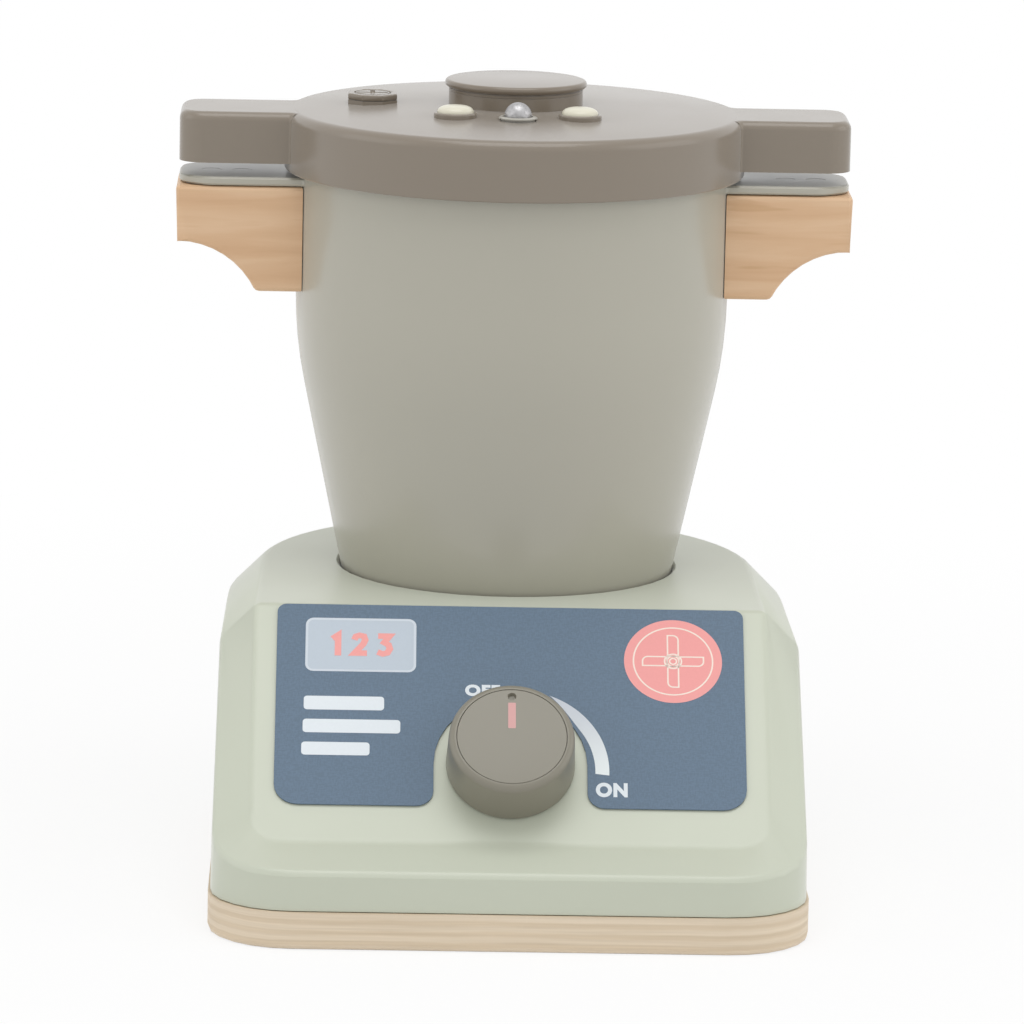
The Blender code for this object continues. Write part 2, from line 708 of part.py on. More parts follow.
def build_label(materials, panel):
    """The printed sheet on the panel, notched from below so that it clears the knob."""
    top = -LABEL_TOP_MARGIN
    low = top - LABEL_LENGTH
    half = LABEL_HALF_WIDTH
    notch = LABEL_NOTCH_HALF_WIDTH
    left = rounded_polygon([(-notch, -KNOB_SLOPE_DISTANCE, 0), (0, top, 0), (-half, top, LABEL_TOP_ROUND),
                            (-half, low, LABEL_BOTTOM_ROUND), (-notch, low, LABEL_NOTCH_ROUND)],
                           CORNER_STEPS)[2:]
    right = [(-x, y) for x, y in reversed(left)]
    crown = arc((0, -KNOB_SLOPE_DISTANCE), notch, math.pi, 0, SMALL_STEPS)
    bm = prism(left + crown + right, GAP, GAP + LABEL_THICKNESS)
    add_object("panel_label", bm, materials["label_print"], panel)


def flat_cutter(radius, bottom, top):
    """A block that takes the flat off a shaft along its -Y side."""
    outline = [(-radius, -radius - OVERRUN), (radius, -radius - OVERRUN),
               (radius, SPINDLE_FLAT_DEPTH - radius), (-radius, SPINDLE_FLAT_DEPTH - radius)]
    return prism(outline, bottom, top)


def flatted_bore(bottom, top):
    """A bore with the spindle's flat, a clearance outside the spindle."""
    radius = SPINDLE_RADIUS + GAP
    flat = SPINDLE_RADIUS - SPINDLE_FLAT_DEPTH + GAP
    half = math.acos(flat / radius)
    outline = arc((0, 0), radius, half - math.pi / 2, 1.5 * math.pi - half, SMALL_STEPS)
    return prism(outline, bottom, top)


def knob_levels():
    """Heights along the knob's axis, below the panel's face: plate, click disc and clip."""
    plate_top = -HOUSING_WALL - GAP
    plate_bottom = plate_top - BUSH_PLATE_THICKNESS
    disc_top = plate_bottom - GAP
    disc_bottom = disc_top - DETENT_THICKNESS
    clip_top = disc_bottom - GAP
    clip_bottom = clip_top - CLIP_THICKNESS
    return plate_top, plate_bottom, disc_top, disc_bottom, clip_top, clip_bottom


def build_knob(materials, axis):
    barrel_top = GAP + NUT_HEIGHT + GAP
    seat = KNOB_HEIGHT - KNOB_CAP_THICKNESS - GAP
    recess = KNOB_CAP_RADIUS + GAP
    rim = KNOB_RADIUS - KNOB_TAPER
    hollow = KNOB_RADIUS - KNOB_SKIRT
    shoulder = KNOB_HEIGHT - KNOB_EDGE_ROUND
    corner = arc((rim - KNOB_EDGE_ROUND, shoulder), KNOB_EDGE_ROUND, math.pi / 2, 0, 2)
    profile = [(0, seat), (recess, seat), (recess, KNOB_HEIGHT)] + corner
    profile += [(KNOB_RADIUS, KNOB_FLOAT), (hollow, KNOB_FLOAT), (hollow, KNOB_HOLLOW_HEIGHT),
                (KNOB_BOSS_RADIUS, KNOB_HOLLOW_HEIGHT), (KNOB_BOSS_RADIUS, barrel_top + GAP),
                (0, barrel_top + GAP)]
    body = add_object("knob_body", lathe(profile, MEDIUM_STEPS), materials["taupe_plastic"], axis)
    cut(body, "knob_bore", flatted_bore(barrel_top - OVERRUN, KNOB_BORE_TOP), axis)

    under = KNOB_HEIGHT - KNOB_CAP_THICKNESS
    cap = add_object("knob_cap", lathe([(0, under), (KNOB_CAP_RADIUS, under),
                                        (KNOB_CAP_RADIUS, KNOB_HEIGHT - KNOB_CAP_EDGE),
                                        (KNOB_CAP_RADIUS - KNOB_CAP_EDGE, KNOB_HEIGHT), (0, KNOB_HEIGHT)],
                                       MEDIUM_STEPS), materials["taupe_plastic"], axis)
    slot_half = POINTER_WIDTH / 2 + GAP
    slot_low = POINTER_INNER_RADIUS - GAP
    slot_high = POINTER_INNER_RADIUS + POINTER_LENGTH + GAP
    slot = [(-slot_half, slot_low), (slot_half, slot_low), (slot_half, slot_high), (-slot_half, slot_high)]
    floor = KNOB_HEIGHT - POINTER_DEPTH - GAP
    cut(cap, "pointer_slot", prism(slot, floor, KNOB_HEIGHT + OVERRUN), axis)
    dimple_floor = KNOB_HEIGHT - DIMPLE_DEPTH
    cut(cap, "cap_dimple", cylinder(DIMPLE_RADIUS, dimple_floor, KNOB_HEIGHT + OVERRUN, TINY_STEPS,
                                    (0, DIMPLE_OFFSET)), axis)

    half = POINTER_WIDTH / 2
    high = POINTER_INNER_RADIUS + POINTER_LENGTH
    bar = [(-half, POINTER_INNER_RADIUS), (half, POINTER_INNER_RADIUS), (half, high), (-half, high)]
    add_object("knob_pointer", prism(bar, KNOB_HEIGHT - POINTER_DEPTH, KNOB_HEIGHT),
               materials["pink_plastic"], axis)


def build_spindle(materials, axis):
    disc_top, disc_bottom, clip_top, clip_bottom = knob_levels()[2:]
    tail = clip_bottom - GAP
    end = tail - SPINDLE_TAIL
    top = KNOB_BORE_TOP - GAP
    groove_top = clip_top + GAP
    shaft = lathe([(0, end), (SPINDLE_RADIUS, end), (SPINDLE_RADIUS, tail), (SPINDLE_GROOVE_RADIUS, tail),
                   (SPINDLE_GROOVE_RADIUS, groove_top), (SPINDLE_RADIUS, groove_top),
                   (SPINDLE_RADIUS, top), (0, top)], SMALL_STEPS)
    spindle = add_object("knob_spindle", shaft, materials["bright_steel"], axis)
    barrel_top = GAP + NUT_HEIGHT + GAP
    cut(spindle, "upper_flat", flat_cutter(SPINDLE_RADIUS, barrel_top + GAP, top + OVERRUN), axis)
    cut(spindle, "lower_flat", flat_cutter(SPINDLE_RADIUS, end - OVERRUN, disc_top), axis)

    clip = clip_outline(SPINDLE_GROOVE_RADIUS + GAP, SPINDLE_GROOVE_RADIUS + GAP + CLIP_WIDTH)
    add_object("spindle_clip", prism(clip, clip_bottom, clip_top), materials["screw_steel"], axis)


def build_detent_disc(materials, axis):
    """The click disc: a scalloped rim, and a lug that meets a stop at each end of the travel."""
    disc_top, disc_bottom = knob_levels()[2:4]
    outline = []
    points_per_notch = 3
    count = DETENT_NOTCHES * points_per_notch
    for step in range(count):
        angle = 2 * math.pi * step / count
        dip = DETENT_NOTCH_DEPTH if step % points_per_notch == 0 else 0
        outline.append(((DETENT_RADIUS - dip) * math.cos(angle), (DETENT_RADIUS - dip) * math.sin(angle)))
    disc = add_object("detent_disc", prism(outline, disc_bottom, disc_top), materials["nylon"], axis)
    start = KNOB_TRAVEL / 2 - math.pi / 2
    along = Vector((math.cos(start), math.sin(start)))
    across = Vector((-along.y, along.x)) * DETENT_LUG_HALF_WIDTH
    root = along * SPINDLE_RADIUS * 2
    tip = along * DETENT_LUG_REACH
    lug = [root - across, tip - across, tip + across, root + across]
    join(disc, "detent_lug", prism([tuple(point) for point in lug], disc_bottom, disc_top), axis)
    cut(disc, "detent_bore", flatted_bore(disc_bottom - OVERRUN, disc_top + OVERRUN), axis)


def build_bush(materials, axis):
    """The threaded bush and its plate, which carries the two stops and the click spring's posts."""
    plate_top, plate_bottom, disc_top, disc_bottom = knob_levels()[:4]
    corners = [(-BUSH_PLATE_HALF_WIDTH, -BUSH_PLATE_LOW, BUSH_PLATE_ROUND),
               (BUSH_PLATE_HALF_WIDTH, -BUSH_PLATE_LOW, BUSH_PLATE_ROUND),
               (BUSH_PLATE_HALF_WIDTH, BUSH_PLATE_HIGH, BUSH_PLATE_ROUND),
               (-BUSH_PLATE_HALF_WIDTH, BUSH_PLATE_HIGH, BUSH_PLATE_ROUND)]
    plate = prism(rounded_polygon(corners, CORNER_STEPS // 2), plate_bottom, plate_top)
    bush = add_object("spindle_bush", plate, materials["brass"], axis)
    barrel_top = GAP + NUT_HEIGHT + GAP
    join(bush, "bush_barrel", cylinder(BUSH_RADIUS, plate_top - BUSH_PLATE_THICKNESS / 2, barrel_top,
                                       SMALL_STEPS), axis)

    posts = new_bmesh()
    stop_circle = DETENT_LUG_REACH - STOP_POST_RADIUS
    lug_half = math.asin((DETENT_LUG_HALF_WIDTH + STOP_POST_RADIUS + GAP) / stop_circle)
    for side in (-1, 1):
        angle = side * (KNOB_TRAVEL / 2 + lug_half) - math.pi / 2
        place = (stop_circle * math.cos(angle), stop_circle * math.sin(angle))
        cylinder(STOP_POST_RADIUS, disc_bottom, plate_bottom + BUSH_PLATE_THICKNESS / 2,
                 TINY_STEPS, place, posts)
    leaf_low = DETENT_RADIUS + SPRING_NOSE_HEIGHT + GAP
    leaf_high = leaf_low + SPRING_LEAF_THICKNESS
    for side in (-1, 1):
        inner = side * (SPRING_POST_OFFSET - SPRING_POST_HALF_LENGTH)
        outer = side * (SPRING_POST_OFFSET + SPRING_POST_HALF_LENGTH)
        post = [(inner, leaf_high + GAP), (outer, leaf_high + GAP),
                (outer, BUSH_PLATE_HIGH), (inner, BUSH_PLATE_HIGH)]
        prism(post, disc_bottom, plate_bottom + BUSH_PLATE_THICKNESS / 2, posts)
    join(bush, "bush_posts", posts, axis)
    bore = cylinder(SPINDLE_RADIUS + GAP, plate_bottom - OVERRUN, barrel_top + OVERRUN, SMALL_STEPS)
    cut(bush, "bush_bore", bore, axis)

    middle = (disc_top + disc_bottom) / 2
    nose = SPRING_NOSE_HALF_WIDTH
    end = SPRING_POST_OFFSET + SPRING_POST_HALF_LENGTH
    tip = DETENT_RADIUS + GAP
    leaf = [(-end, leaf_low), (-nose, leaf_low), (0, tip), (nose, leaf_low), (end, leaf_low),
            (end, leaf_high), (nose, leaf_high), (0, tip + SPRING_LEAF_THICKNESS), (-nose, leaf_high),
            (-end, leaf_high)]
    half = SPRING_LEAF_WIDTH / 2
    add_object("detent_spring", prism(leaf, middle - half, middle + half), materials["bright_steel"], axis)

    hexagon = arc((0, 0), NUT_HALF_FLATS / math.cos(math.pi / 6), 0, 2 * math.pi, 6)[:-1]
    nut = add_object("bush_nut", prism(hexagon, GAP, GAP + NUT_HEIGHT), materials["brass"], axis)
    cut(nut, "nut_bore", cylinder(BUSH_RADIUS + GAP, GAP - OVERRUN, GAP + NUT_HEIGHT + OVERRUN,
                                  SMALL_STEPS), axis)


def pot_profile():
    """The pot's section, from the axis under the floor, up the outside and down the inside."""
    foot_radius = pot_radius_at(0)
    foot_inner = foot_radius - POT_FOOT_WIDTH
    blend_foot = POT_STRAIGHT_HEIGHT - POT_BLEND_RADIUS * math.sin(POT_TAPER)
    heights = []
    for step in range(POT_BLEND_STEPS + 1):
        heights.append(blend_foot + (POT_STRAIGHT_HEIGHT - blend_foot) * step / POT_BLEND_STEPS)
    outer = [(foot_radius - POT_FOOT_ROUND, 0), (pot_radius_at(POT_FOOT_ROUND), POT_FOOT_ROUND)]
    outer += [(pot_radius_at(height), height) for height in heights]
    outer += [(POT_RADIUS, POT_HEIGHT - POT_RIM_ROUND), (POT_RADIUS - POT_RIM_ROUND, POT_HEIGHT)]
    floor = POT_FOOT_HEIGHT + POT_WALL
    inner = [(POT_RADIUS - POT_WALL, POT_HEIGHT)]
    inner += [(pot_radius_at(height) - POT_WALL, height) for height in heights[::-2]]
    corner_top = floor + POT_INNER_ROUND
    inner_foot = pot_radius_at(corner_top) - POT_WALL
    inner += arc((inner_foot - POT_INNER_ROUND, corner_top), POT_INNER_ROUND, 0, -math.pi / 2, 3)
    bore = PIN_RADIUS + GAP
    return ([(bore, POT_FOOT_HEIGHT), (foot_inner - POT_FOOT_HEIGHT, POT_FOOT_HEIGHT), (foot_inner, 0)]
            + outer + inner + [(bore, floor)])


def build_pot(materials, pot):
    shell = add_object("pot_shell", lathe(pot_profile(), LARGE_STEPS, closed=True),
                       materials["pot_plastic"], pot)
    ear_bottom = POT_EAR_TOP - POT_EAR_THICKNESS
    for side, name in ((-1, "left_pot_ear"), (1, "right_pot_ear")):
        outline, free = ear_outline(side, POT_RADIUS, POT_RADIUS - POT_WALL / 2, POT_EAR_TIP_RADIUS)
        ear = add_cutter(name, prism(outline, ear_bottom, POT_EAR_TOP, marked_top=range(free),
                                     marked_bottom=range(free)), pot)
        bevel_marked(ear, POT_EAR_ROUND, 1)
        combine(shell, ear, "UNION")
    head_top = POT_EAR_TOP - HANDLE_SCREW_SINK
    head_bottom = head_top - HANDLE_SCREW_HEAD_HEIGHT
    holes = new_bmesh()
    for place in handle_screw_places(-1) + handle_screw_places(1):
        lathe([(0, ear_bottom - OVERRUN), (HANDLE_SCREW_RADIUS + GAP, ear_bottom - OVERRUN),
               (HANDLE_SCREW_RADIUS + GAP, head_bottom - GAP),
               (HANDLE_SCREW_HEAD_RADIUS + GAP, head_top - GAP),
               (HANDLE_SCREW_HEAD_RADIUS + GAP, POT_EAR_TOP + OVERRUN), (0, POT_EAR_TOP + OVERRUN)],
              TINY_STEPS, centre=place, bm=holes)
    cut(shell, "ear_screw_holes", holes, pot)


def handle_screw_places(side):
    """Two screws along each ear, between the pot's wall and the ear's end."""
    middle = POT_RADIUS + (EAR_REACH - POT_RADIUS) * HANDLE_SCREW_PLACE_SHARE
    half = HANDLE_SCREW_SPACING / 2
    return [(side * (middle - half), 0), (side * (middle + half), 0)]


def build_handle(name, side, materials, pot):
    """A wooden block under one ear: straight grip, scooped out below its outer end."""
    top = POT_EAR_TOP - POT_EAR_THICKNESS - GAP
    bottom = top - HANDLE_HEIGHT
    end = EAR_REACH + HANDLE_OVERHANG
    end_bottom = top - HANDLE_END_HEIGHT
    scoop_x = end - HANDLE_SCOOP_INSET
    run = scoop_x - POT_RADIUS - (EAR_REACH - POT_RADIUS) * HANDLE_FOOT_SHARE
    fall = end_bottom - bottom
    radius = (run ** 2 + fall ** 2) / (2 * fall)
    sweep = math.atan2(run, radius - fall)
    root = POT_RADIUS - 2 * POT_WALL - EAR_FILLET
    outline = [(root, bottom), (root, top), (end, top), (end - HANDLE_END_TAPER, end_bottom)]
    outline += arc((scoop_x, end_bottom - radius), radius, math.pi / 2, math.pi / 2 + sweep, TINY_STEPS)
    bm = prism([(side * x, z) for x, z in outline], -EAR_HALF_WIDTH, EAR_HALF_WIDTH)
    bmesh.ops.rotate(bm, verts=bm.verts, cent=(0, 0, 0), matrix=Matrix.Rotation(math.pi / 2, 3, "X"))
    block = add_object(name, bm, materials["beech"], pot)
    rounding = block.modifiers.new("rounded edges", "BEVEL")
    rounding.width = HANDLE_ROUND
    rounding.segments = 2
    rounding.angle_limit = SMOOTH_ANGLE
    wall = cylinder(POT_RADIUS + GAP, bottom - OVERRUN, top + OVERRUN, LARGE_STEPS)
    cut(block, name + "_wall", wall, pot)
    holes = new_bmesh()
    for place in handle_screw_places(side):
        cylinder(HANDLE_SCREW_RADIUS + GAP, top - HANDLE_SCREW_DEPTH - GAP, top + OVERRUN, TINY_STEPS,
                 place, holes)
    cut(block, name + "_pilots", holes, pot)


def build_handle_screws(materials, pot):
    head_top = POT_EAR_TOP - HANDLE_SCREW_SINK
    tip = POT_EAR_TOP - POT_EAR_THICKNESS - HANDLE_SCREW_DEPTH
    for side, name in ((-1, "left"), (1, "right")):
        for number, place in enumerate(handle_screw_places(side), 1):
            bm = lathe([(0, tip), (HANDLE_SCREW_RADIUS, tip + HANDLE_SCREW_RADIUS),
                        (HANDLE_SCREW_RADIUS, head_top - HANDLE_SCREW_HEAD_HEIGHT),
                        (HANDLE_SCREW_HEAD_RADIUS, head_top), (0, head_top)], TINY_STEPS)
            screw = add_object(f"{name}_handle_screw_{number}", bm, materials["screw_steel"], pot)
            screw.location = (*place, 0)


def blade_sections():
    """Sections of one blade along +X: a thin lens, pitched steeply at the root and less at the tip."""
    rings = []
    for reach, width in zip(BLADE_REACH_SHARES, BLADE_WIDTH_SHARES):
        half = BLADE_WIDTH * width / 2
        pitch = BLADE_ROOT_PITCH + (BLADE_TIP_PITCH - BLADE_ROOT_PITCH) * reach
        lift = BLADE_TIP_RISE * reach ** 2
        lens = [(-half, 0), (-half / 2, -BLADE_THICKNESS / 2), (half / 2, -BLADE_THICKNESS / 2),
                (half, 0), (half / 2, BLADE_THICKNESS / 2), (-half / 2, BLADE_THICKNESS / 2)]
        ring = []
        for along, up in lens:
            y = along * math.cos(pitch) - up * math.sin(pitch)
            z = along * math.sin(pitch) + up * math.cos(pitch) + lift
            ring.append((BLADE_TIP_RADIUS * reach, y, z))
        rings.append(ring)
    return rings


def build_rotor(materials, rotor):
    """The four-blade rotor, the pin that carries it, its washer and the domed nut that keeps it."""
    hub = add_object("mixing_rotor", lathe([(0, 0), (HUB_RADIUS, 0), (HUB_RADIUS, HUB_HEIGHT / 2),
                                            (HUB_TOP_RADIUS, HUB_HEIGHT), (0, HUB_HEIGHT)], SMALL_STEPS),
                     materials["ivory_plastic"], rotor)
    blades = new_bmesh()
    for index in range(BLADE_COUNT):
        turn = Matrix.Rotation(2 * math.pi * index / BLADE_COUNT, 3, "Z")
        rise = Vector((0, 0, BLADE_CENTRE_HEIGHT))
        loft([[turn @ Vector(point) + rise for point in ring] for ring in blade_sections()], blades)
    join(hub, "rotor_blades", blades, rotor)
    bore = cylinder(PIN_RADIUS + GAP, -OVERRUN, HUB_HEIGHT + OVERRUN, SMALL_STEPS, lead=HALF_STEP)
    cut(hub, "rotor_bore", bore, rotor)

    washer_bottom = -GAP - WASHER_THICKNESS
    add_object("rotor_washer", tube(PIN_RADIUS + GAP, WASHER_RADIUS, washer_bottom, -GAP, SMALL_STEPS),
               materials["nylon"], rotor)
    under_floor = washer_bottom - GAP - POT_WALL - GAP
    nut_seat = HUB_HEIGHT + GAP
    pin_top = nut_seat + PIN_THREAD_HEIGHT
    add_object("rotor_pin", lathe([(0, under_floor - PIN_HEAD_HEIGHT),
                                   (PIN_HEAD_RADIUS, under_floor - PIN_HEAD_HEIGHT),
                                   (PIN_HEAD_RADIUS, under_floor), (PIN_RADIUS, under_floor),
                                   (PIN_RADIUS, pin_top), (0, pin_top)], SMALL_STEPS),
               materials["bright_steel"], rotor)
    dome = arc((0, nut_seat), CAP_NUT_RADIUS, 0, math.pi / 2, 4)
    stretch = CAP_NUT_HEIGHT / CAP_NUT_RADIUS
    profile = [(radius, nut_seat + (height - nut_seat) * stretch) for radius, height in dome[:-1]]
    nut = [(PIN_RADIUS + GAP, nut_seat)] + profile + [(0, nut_seat + CAP_NUT_HEIGHT)]
    nut += [(0, pin_top + GAP), (PIN_RADIUS + GAP, pin_top + GAP)]
    add_object("rotor_cap_nut", lathe(nut, SMALL_STEPS, closed=True), materials["bright_steel"], rotor)


def dome_height(radius):
    """The lid's shallow dome, above its top edge."""
    return LID_DOME_RISE * (1 - (radius / LID_FLAT_RADIUS) ** 2)


def button_places():
    across = FITTING_RADIUS * math.sin(FITTING_ANGLE)
    forward = FITTING_RADIUS * math.cos(FITTING_ANGLE)
    return {"left": (-across, -forward), "right": (across, -forward)}


def lid_profile():
    """The lid's section: collar, dome, rounded edge and skirt, and the sleeve round the filler."""
    profile = [(FILLER_RADIUS, COLLAR_TOP), (COLLAR_RADIUS - COLLAR_ROUND, COLLAR_TOP),
               (COLLAR_RADIUS, COLLAR_TOP - COLLAR_ROUND), (COLLAR_RADIUS, dome_height(COLLAR_RADIUS))]
    profile += [(LID_FLAT_RADIUS * share, dome_height(LID_FLAT_RADIUS * share)) for share in DOME_SHARES]
    profile += arc((LID_FLAT_RADIUS, -LID_EDGE_ROUND), LID_EDGE_ROUND, math.pi / 2, 0, 2)[1:]
    profile += [(LID_RADIUS, LID_SKIRT_ROUND - LID_DROP), (LID_RADIUS - LID_SKIRT_ROUND, -LID_DROP),
                (LID_INNER_RADIUS, -LID_DROP), (LID_INNER_RADIUS, DECK_UNDERSIDE),
                (COLLAR_RADIUS, DECK_UNDERSIDE), (COLLAR_RADIUS, -FILLER_SLEEVE_DEPTH),
                (FILLER_RADIUS, -FILLER_SLEEVE_DEPTH)]
    return profile


def build_lid_ears(shell, lid):
    for side, name in ((-1, "left_lid_ear"), (1, "right_lid_ear")):
        root_radius = (LID_INNER_RADIUS + LID_FLAT_RADIUS) / 2
        outline, free = ear_outline(side, LID_RADIUS, root_radius, LID_EAR_TIP_RADIUS)
        ear = add_cutter(name, prism(outline, -LID_EAR_THICKNESS, 0, marked_top=range(free)), lid)
        bevel_marked(ear, LID_EAR_ROUND, 2)
        combine(shell, ear, "UNION")
        half = EAR_HALF_WIDTH - LID_WALL
        tip = EAR_REACH - LID_WALL
        rib = LID_EAR_RIB_HALF_THICKNESS
        corner = LID_EAR_TIP_RADIUS - LID_WALL
        pocket_bottom = -LID_EAR_THICKNESS - OVERRUN
        pockets = new_bmesh()
        for flank in (-1, 1):
            pocket = rounded_polygon([(LID_RADIUS, flank * rib, 0), (tip, flank * rib, 0),
                                      (tip, flank * half, corner), (LID_RADIUS, flank * half, 0)],
                                     CORNER_STEPS // 2)
            prism([(side * x, y) for x, y in pocket], pocket_bottom, DECK_UNDERSIDE, pockets)
        cut(shell, name + "_pockets", pockets, lid)


def build_lid(materials, lid):
    shell = add_object("lid", lathe(lid_profile(), LARGE_STEPS, closed=True),
                       materials["taupe_plastic"], lid)
    build_lid_ears(shell, lid)

    collar_top = dome_height(FITTING_RADIUS) + BUTTON_COLLAR_RISE
    cup_radius = BUTTON_RADIUS + GAP + BUTTON_CUP_WALL
    cup_bottom = -BUTTON_POCKET_DEPTH - BUTTON_POCKET_FLOOR
    for name, place in button_places().items():
        collar = lathe([(0, cup_bottom), (cup_radius, cup_bottom), (cup_radius, 0),
                        (BUTTON_COLLAR_RADIUS, 0), (BUTTON_COLLAR_RADIUS, collar_top - COLLAR_ROUND),
                        (BUTTON_COLLAR_RADIUS - COLLAR_ROUND, collar_top), (0, collar_top)],
                       SMALL_STEPS, centre=place, lead=HALF_STEP)
        join(shell, name + "_button_collar", collar, lid)
        pocket = lathe([(0, cup_bottom - OVERRUN), (BUTTON_STEM_RADIUS + GAP, cup_bottom - OVERRUN),
                        (BUTTON_STEM_RADIUS + GAP, -BUTTON_POCKET_DEPTH),
                        (BUTTON_RADIUS + GAP, -BUTTON_POCKET_DEPTH),
                        (BUTTON_RADIUS + GAP, collar_top + OVERRUN), (0, collar_top + OVERRUN)],
                       SMALL_STEPS, centre=place)
        cut(shell, name + "_button_pocket", pocket, lid)

    valve_hole = cylinder(VALVE_BARREL_RADIUS + GAP, DECK_UNDERSIDE - OVERRUN, LID_DOME_RISE + OVERRUN,
                          SMALL_STEPS, (0, -VALVE_REACH), lead=HALF_STEP)
    cut(shell, "valve_hole", valve_hole, lid)

    dial = (DIAL_X, DIAL_Y)
    pad = cylinder(DIAL_PAD_RADIUS, DECK_UNDERSIDE / 2, dial_pad_top(), SMALL_STEPS, dial, lead=HALF_STEP)
    join(shell, "dial_pad", pad, lid)
    dial_hole = cylinder(DIAL_STEM_RADIUS + GAP, DECK_UNDERSIDE - OVERRUN, dial_pad_top() + OVERRUN,
                         TINY_STEPS, dial)
    cut(shell, "dial_hole", dial_hole, lid)

    seal_top = DECK_UNDERSIDE - GAP
    seal_bottom = seal_top - SEAL_THICKNESS
    seal_outer = LID_INNER_RADIUS - GAP
    seal = [(seal_outer - SEAL_WIDTH + SEAL_LIP, seal_bottom), (seal_outer, seal_bottom),
            (seal_outer, seal_top), (seal_outer - SEAL_WIDTH, seal_top)]
    add_object("lid_seal", lathe(seal, LARGE_STEPS, closed=True), materials["seal_rubber"], lid)


def build_filler_cap(materials, lid):
    """The lift-out measuring cap: a round disc over an upturned cup that fits the filler."""
    bottom = COLLAR_TOP + GAP
    half = CAP_DISC_THICKNESS / 2
    rim = arc((CAP_RADIUS - half, bottom + half), half, -math.pi / 2, math.pi / 2, 4)
    outer = FILLER_RADIUS - GAP
    inner = outer - CAP_WALL
    cup_bottom = bottom - CAP_DEPTH
    profile = [(0, bottom + half), (inner, bottom + half), (inner, cup_bottom),
               (outer - CAP_LEAD_IN, cup_bottom), (outer, cup_bottom + CAP_LEAD_IN), (outer, bottom)]
    profile += rim + [(0, bottom + CAP_DISC_THICKNESS)]
    add_object("filler_cap", lathe(profile, MEDIUM_STEPS), materials["taupe_plastic"], lid)


def stem_profile(radius, seat):
    """A stem's lower end under a floor at the given height: the clip's groove and a short tail.

    Returns the points from the axis at the tail up to the stem's full radius above the groove."""
    clip_top = seat - GAP
    clip_bottom = clip_top - CLIP_THICKNESS
    groove = radius - STEM_GROOVE_DEPTH
    end = clip_bottom - GAP - STEM_TAIL
    return [(0, end), (radius, end), (radius, clip_bottom - GAP), (groove, clip_bottom - GAP),
            (groove, clip_top + GAP / 2), (radius, clip_top + GAP / 2)]


def build_stem_clip(name, radius, seat, place, materials, lid):
    clip_top = seat - GAP
    inner = radius - STEM_GROOVE_DEPTH + GAP / 2
    clip = add_object(name, prism(clip_outline(inner, radius + CLIP_WIDTH), clip_top - CLIP_THICKNESS,
                                  clip_top), materials["screw_steel"], lid)
    clip.location = (*place, 0)


def build_button(side, place, materials, lid):
    """A domed push button on a coil spring in its pocket, kept by a clip under the pocket's floor."""
    collar_top = dome_height(FITTING_RADIUS) + BUTTON_COLLAR_RISE
    crown = collar_top + BUTTON_RISE
    skirt_bottom = crown - BUTTON_SKIRT
    ceiling = collar_top - BUTTON_WALL / 2
    inner = BUTTON_RADIUS - BUTTON_WALL
    profile = stem_profile(BUTTON_STEM_RADIUS, -BUTTON_POCKET_DEPTH - BUTTON_POCKET_FLOOR)
    profile += [(BUTTON_STEM_RADIUS, ceiling), (inner, ceiling), (inner, skirt_bottom),
                (BUTTON_RADIUS, skirt_bottom)]
    for point in arc((0, 0), 1, 0, math.pi / 2, 4):
        profile.append((BUTTON_RADIUS * point[0] ** BUTTON_DOME_FULLNESS,
                        collar_top + BUTTON_RISE * point[1]))
    profile[-1] = (0, crown)
    button = add_object(side + "_button", lathe(profile, SMALL_STEPS), materials["ivory_plastic"], lid)
    button.location = (*place, 0)
    build_stem_clip(side + "_button_clip", BUTTON_STEM_RADIUS, -BUTTON_POCKET_DEPTH - BUTTON_POCKET_FLOOR,
                    place, materials, lid)
    spring = coil(BUTTON_SPRING_RADIUS, COIL_WIRE_RADIUS, GAP - BUTTON_POCKET_DEPTH, ceiling - GAP,
                  COIL_TURNS, (0, 0))
    spring_object = add_object(side + "_button_spring", spring, materials["bright_steel"], lid)
    spring_object.location = (*place, 0)


def valve_levels():
    """The ring's underside, its top, the barrel's floor and the barrel's lower end."""
    ring_bottom = dome_height(VALVE_REACH - VALVE_RING_RADIUS) + GAP
    ring_top = ring_bottom + VALVE_RING_THICKNESS
    barrel_bottom = ring_top - VALVE_BARREL_DEPTH
    return ring_bottom, ring_top, barrel_bottom + VALVE_BARREL_FLOOR, barrel_bottom


